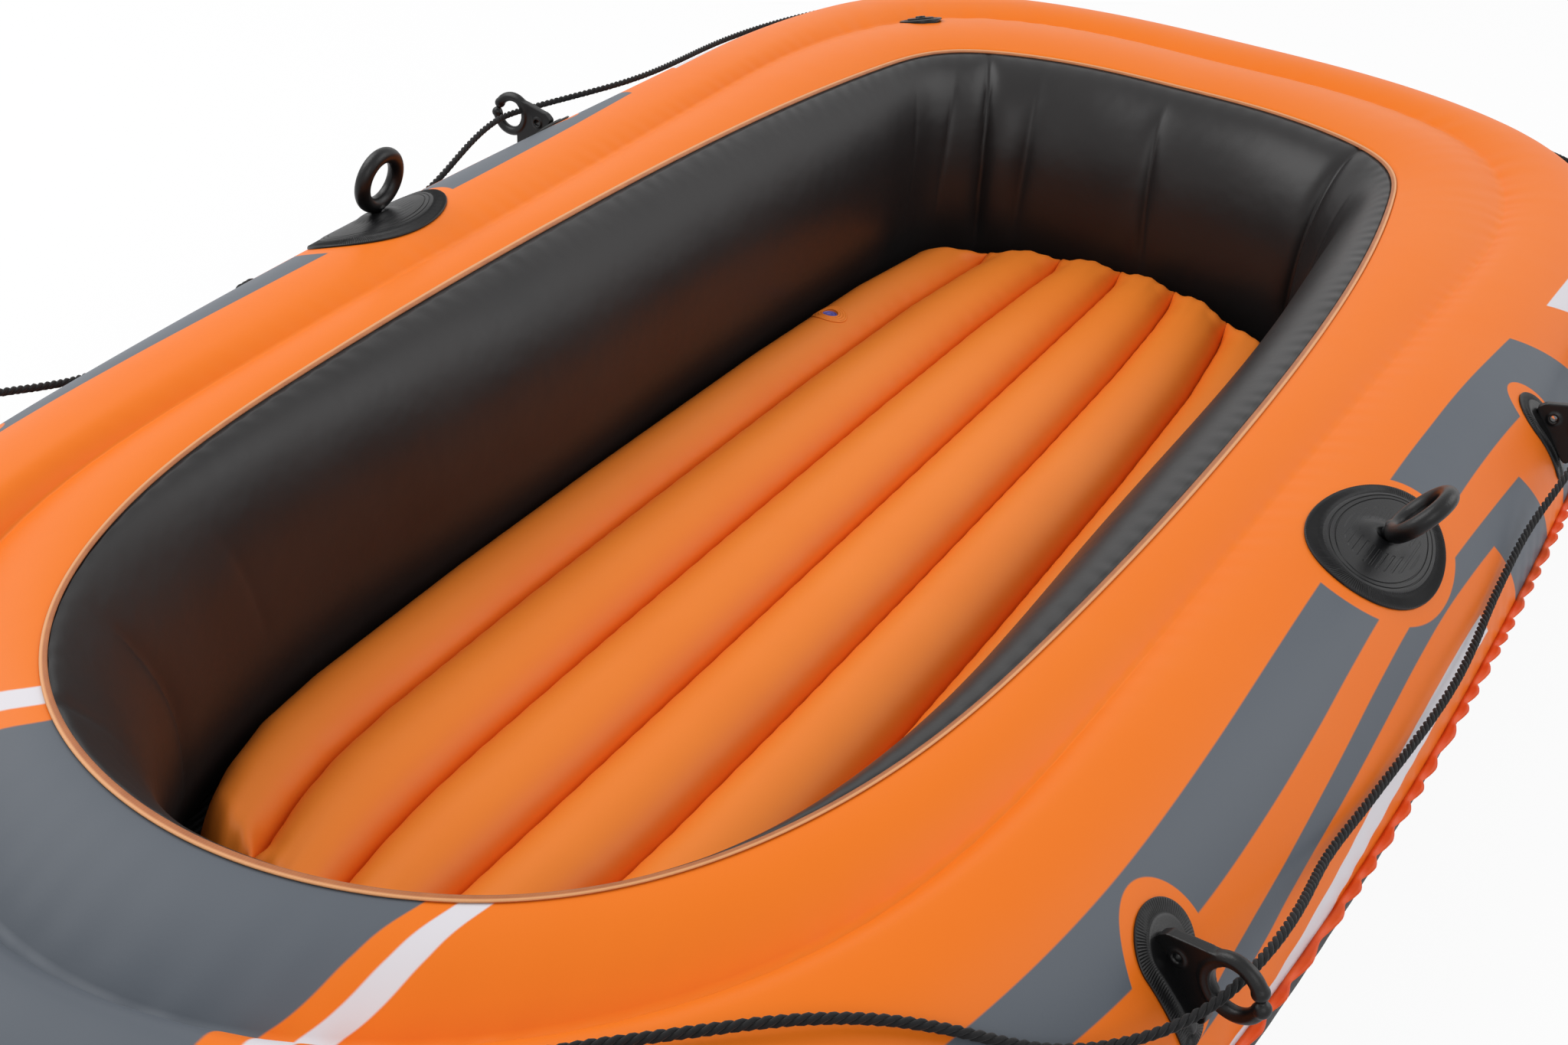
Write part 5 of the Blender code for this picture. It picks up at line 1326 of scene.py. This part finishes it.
def makeValve(label, shape):
    place = frameOf(*shape["frames"][label])
    upright = Matrix.Identity(4)
    top, foot, floor = shape["top"], shape["foot"], shape["floor"]
    outer, bore, port = shape["bodyOuter"], shape["bore"], shape["port"]
    seat = turned(shape["seat"], place, 72, True)
    body = turned([
        (outer, top - 0.0004), (outer, foot), (port, foot), (port, floor), (bore, floor),
        (bore, top - 0.0012), (bore + 0.0008, top - 0.0012), (bore + 0.001, top), (outer - 0.0008, top),
    ], upright, 120, True)
    # finger notches round the rim
    for vert in body.verts:
        away = math.hypot(vert.co.x, vert.co.y)
        wave = math.cos(shape["grips"] * math.atan2(vert.co.y, vert.co.x))
        if away > outer - 0.0012 and vert.co.z > top - 0.001 and wave > shape["gripFrom"]:
            vert.co.z -= shape["gripDepth"]

    capFoot, capTop, button = shape["capFoot"], shape["capTop"], shape["button"]
    wide, plug, small = shape["capRadius"], shape["plugRadius"], shape["buttonRadius"]
    disc = turned([
        (0, button - 0.0003), (0.0028, button - 0.0003), (0.0034, button), (small - 0.0006, button),
        (small, button - 0.0006), (small + 0.0003, capTop), (0.0088, capTop), (0.0092, capTop - 0.0003),
        (0.0120, capTop - 0.0003), (0.0124, capTop), (wide - 0.0006, capTop), (wide, capTop - 0.0006),
        (wide, capFoot), (plug, capFoot), (plug - 0.0004, capFoot - 0.0025), (0, capFoot - 0.0025),
    ], upright, 72)
    strap = bmesh.new()
    long = shape["hingeOut"] - plug
    bmesh.ops.create_cube(strap, size=1)
    bmesh.ops.scale(strap, verts=strap.verts, vec=(long, shape["strap"], capTop - capFoot - 0.0002))
    middle = (shape["hingeOut"] - long / 2, 0, (capTop + capFoot) / 2)
    bmesh.ops.translate(strap, verts=strap.verts, vec=middle)
    edges = [e for e in strap.edges if abs(e.verts[0].co.x - e.verts[1].co.x) > 0.001]
    bmesh.ops.bevel(strap, geom=edges, offset=0.0005, segments=2, profile=0.5, affect="EDGES", material=-1)
    made = (
        ("Seat", seat, "hull"),
        ("Body", moved(body, place), label + "_valve"),
        ("Cap", moved(joinMeshes([disc, strap]), place), label + "_valve_cap"),
    )
    for part, builder, rides in made:
        piece = finished(label + "Valve" + part, builder, valveBlack, 35)
        wear(piece, rides, "black_moulding", label + "_tube_valve_" + part.lower())


for label in valveShape["frames"]:
    makeValve(label, valveShape)
print("valves made")


# the holes for the valves in the skins, and the small valve of the air floor
plugShape = {
    "at": (-0.345, -0.210813, 0.0865), "hole": 0.0087, "holeDrop": 0.007, "holeDepth": 0.034,
    "outer": 0.0082, "bore": 0.0064, "neck": 0.0046, "rim": -0.0009, "foot": -0.0217, "ledge": -0.0027,
    "collar": 0.0195, "ringPitch": 0.0031,
    "look": {
        "cloud": (160,), "colours": ((92, 88, 168), (112, 108, 190)), "roughness": (0.24, 0.1),
        "grain": ((1, 160),), "bump": (0.0002, 0.4),
    },
}

cutOut(topSkin, [bar(valveShape["hole"], 0.03, frameOf(*axes), 64) for axes in valveShape["frames"].values()])
holeMiddle = Vector(plugShape["at"]) - Vector((0, 0, plugShape["holeDrop"]))
cutOut(airFloor, [bar(plugShape["hole"], plugShape["holeDepth"], Matrix.Translation(holeMiddle), 48)])


def makeFloorValve(shape):
    place = Matrix.Translation(shape["at"])
    outer, bore, neck = shape["outer"], shape["bore"], shape["neck"]
    rim, foot, ledge = shape["rim"], shape["foot"], shape["ledge"]
    material = clouded(Finish("bluePlug", coat=0.3), shape["look"])
    stem = turned([
        (outer, rim - 0.0004), (outer, foot), (neck, foot), (neck, ledge), (bore, ledge),
        (bore, rim - 0.0003), (bore + 0.0004, rim), (outer - 0.0004, rim),
    ], place, 48, True)
    head, shank = bore - 0.0003, neck - 0.0003
    plug = turned([
        (0, rim - 0.0004), (0.0022, rim - 0.0004), (0.0027, rim), (head - 0.0004, rim), (head, rim - 0.0004),
        (head, ledge + 0.0003), (shank, ledge + 0.0003), (shank, ledge - 0.0095),
        (shank - 0.0006, ledge - 0.01), (0, ledge - 0.01),
    ], place, 48)
    wear(finished("floorValveStem", stem, material, 35), "floor_valve", "blue_plug", "floor_valve_stem")
    wear(finished("floorPlug", plug, material, 35), "floor_plug", "blue_plug", "floor_valve_plug")

    # a welded collar of rings that lies on the channel
    radii = np.linspace(shape["hole"] + 0.0002, shape["collar"], 34)
    wave = 0.5 + 0.5 * np.cos(math.tau * (radii - radii[0]) / shape["ringPitch"])
    lift = np.where(radii > shape["collar"] - 0.0003, 0, 0.0003 + 0.0005 * wave)

    def collarPoint(u, v):
        row = np.rint(v).astype(int)
        x = shape["at"][0] + radii[row] * np.cos(math.tau * u)
        y = shape["at"][1] + radii[row] * np.sin(math.tau * u)
        height, _ = floorHeight(y / floorWidthAt(x), np.full(len(u), 1.0))
        return np.column_stack([x, y, floorShape["base"] + height + 0.0004 + lift[row]])

    # its map stays on one spot of a channel's crown, away from the welds
    collar = bentGrid(
        72, np.arange(len(radii)), collarPoint, mapAt=lambda u, v: np.tile((0.0833, 0.5), (len(u), 1)),
    )
    outward(collar)
    if sum(face.normal.z for face in collar.faces) < 0:
        bmesh.ops.reverse_faces(collar, faces=collar.faces)
    collar = finished("floorValveCollar", collar, floorMaterial)
    wear(thicken(collar, 0.0005, -1), "hull", "orange_vinyl")


makeFloorValve(plugShape)
print("floor valve made")


# what stays as the solids have it gets its material only
innerFinish = mouldedFinish("innerVinyl", (44, 44, 47), 0.5)
for name in ("chamber_divider", "inner_tube_valve_flap", "outer_tube_valve_flap"):
    for slot in nodes[name].material_slots:
        slot.material = innerFinish

wear(airFloor, "hull", "orange_vinyl", "floor_mattress")
wear(topSkin, "hull", "orange_vinyl", "top_sheet")


# a pale floor, three soft lamps, and a world that the camera and the gloss see as white
studio = {
    "floorColour": (238, 238, 240), "floorHalf": 8, "floorDrop": 0.0015, "cameraGlow": 0.92,
    "worldLight": 0.5,
    "lamps": (
        ((0.4, -2.4, 2.7), 2.6, 75),
        ((-1.6, 2.2, 2.3), 2.2, 32),
        ((2.2, 1.6, 1.9), 1.6, 14),
    ),
}


def makeStudio(shape):
    builder = bmesh.new()
    bmesh.ops.create_grid(builder, x_segments=1, y_segments=1, size=shape["floorHalf"])
    moved(builder, Matrix.Translation((0, 0, -shape["floorDrop"])))
    f = Finish("studioFloor", colour=linear(*shape["floorColour"]), roughness=0.9)
    seen = f.node("LightPath", out="Is Camera Ray")
    glow = f.node("Emission", {}, {"Color": (1, 1, 1), "Strength": 1})
    shader = Wire(f.tree, f.shader.outputs[0])
    mixed = f.node("MixShader", {}, {0: seen * shape["cameraGlow"], 1: shader, 2: glow})
    feed(f.tree, f.tree.nodes["Material Output"].inputs["Surface"], mixed)
    finished("studioFloor", builder, f.material)

    world = bpy.data.worlds.new("studio")
    bpy.context.scene.world = world
    world.use_nodes = True
    sky = Nodes(world.node_tree)
    rays = ("Is Camera Ray", "Is Glossy Ray", "Is Transmission Ray")
    camera, glossy, through = [sky.node("LightPath", out=ray) for ray in rays]
    strength = (camera + glossy + through).least(1) * (1 - shape["worldLight"]) + shape["worldLight"]
    background = sky.tree.nodes["Background"]
    background.inputs["Color"].default_value = (1, 1, 1, 1)
    feed(sky.tree, background.inputs["Strength"], strength)

    for number, (spot, size, power) in enumerate(shape["lamps"]):
        lamp = bpy.data.lights.new("softLight" + str(number), "AREA")
        lamp.size = size
        lamp.energy = power
        holder = bpy.data.objects.new(lamp.name, lamp)
        bpy.context.scene.collection.objects.link(holder)
        aim = Vector(spot).to_track_quat("Z", "Y").to_matrix().to_4x4()
        holder.matrix_world = Matrix.Translation(spot) @ aim
    bpy.context.scene.view_settings.view_transform = "Standard"


makeStudio(studio)
print("studio lit")

bpy.context.view_layer.update()
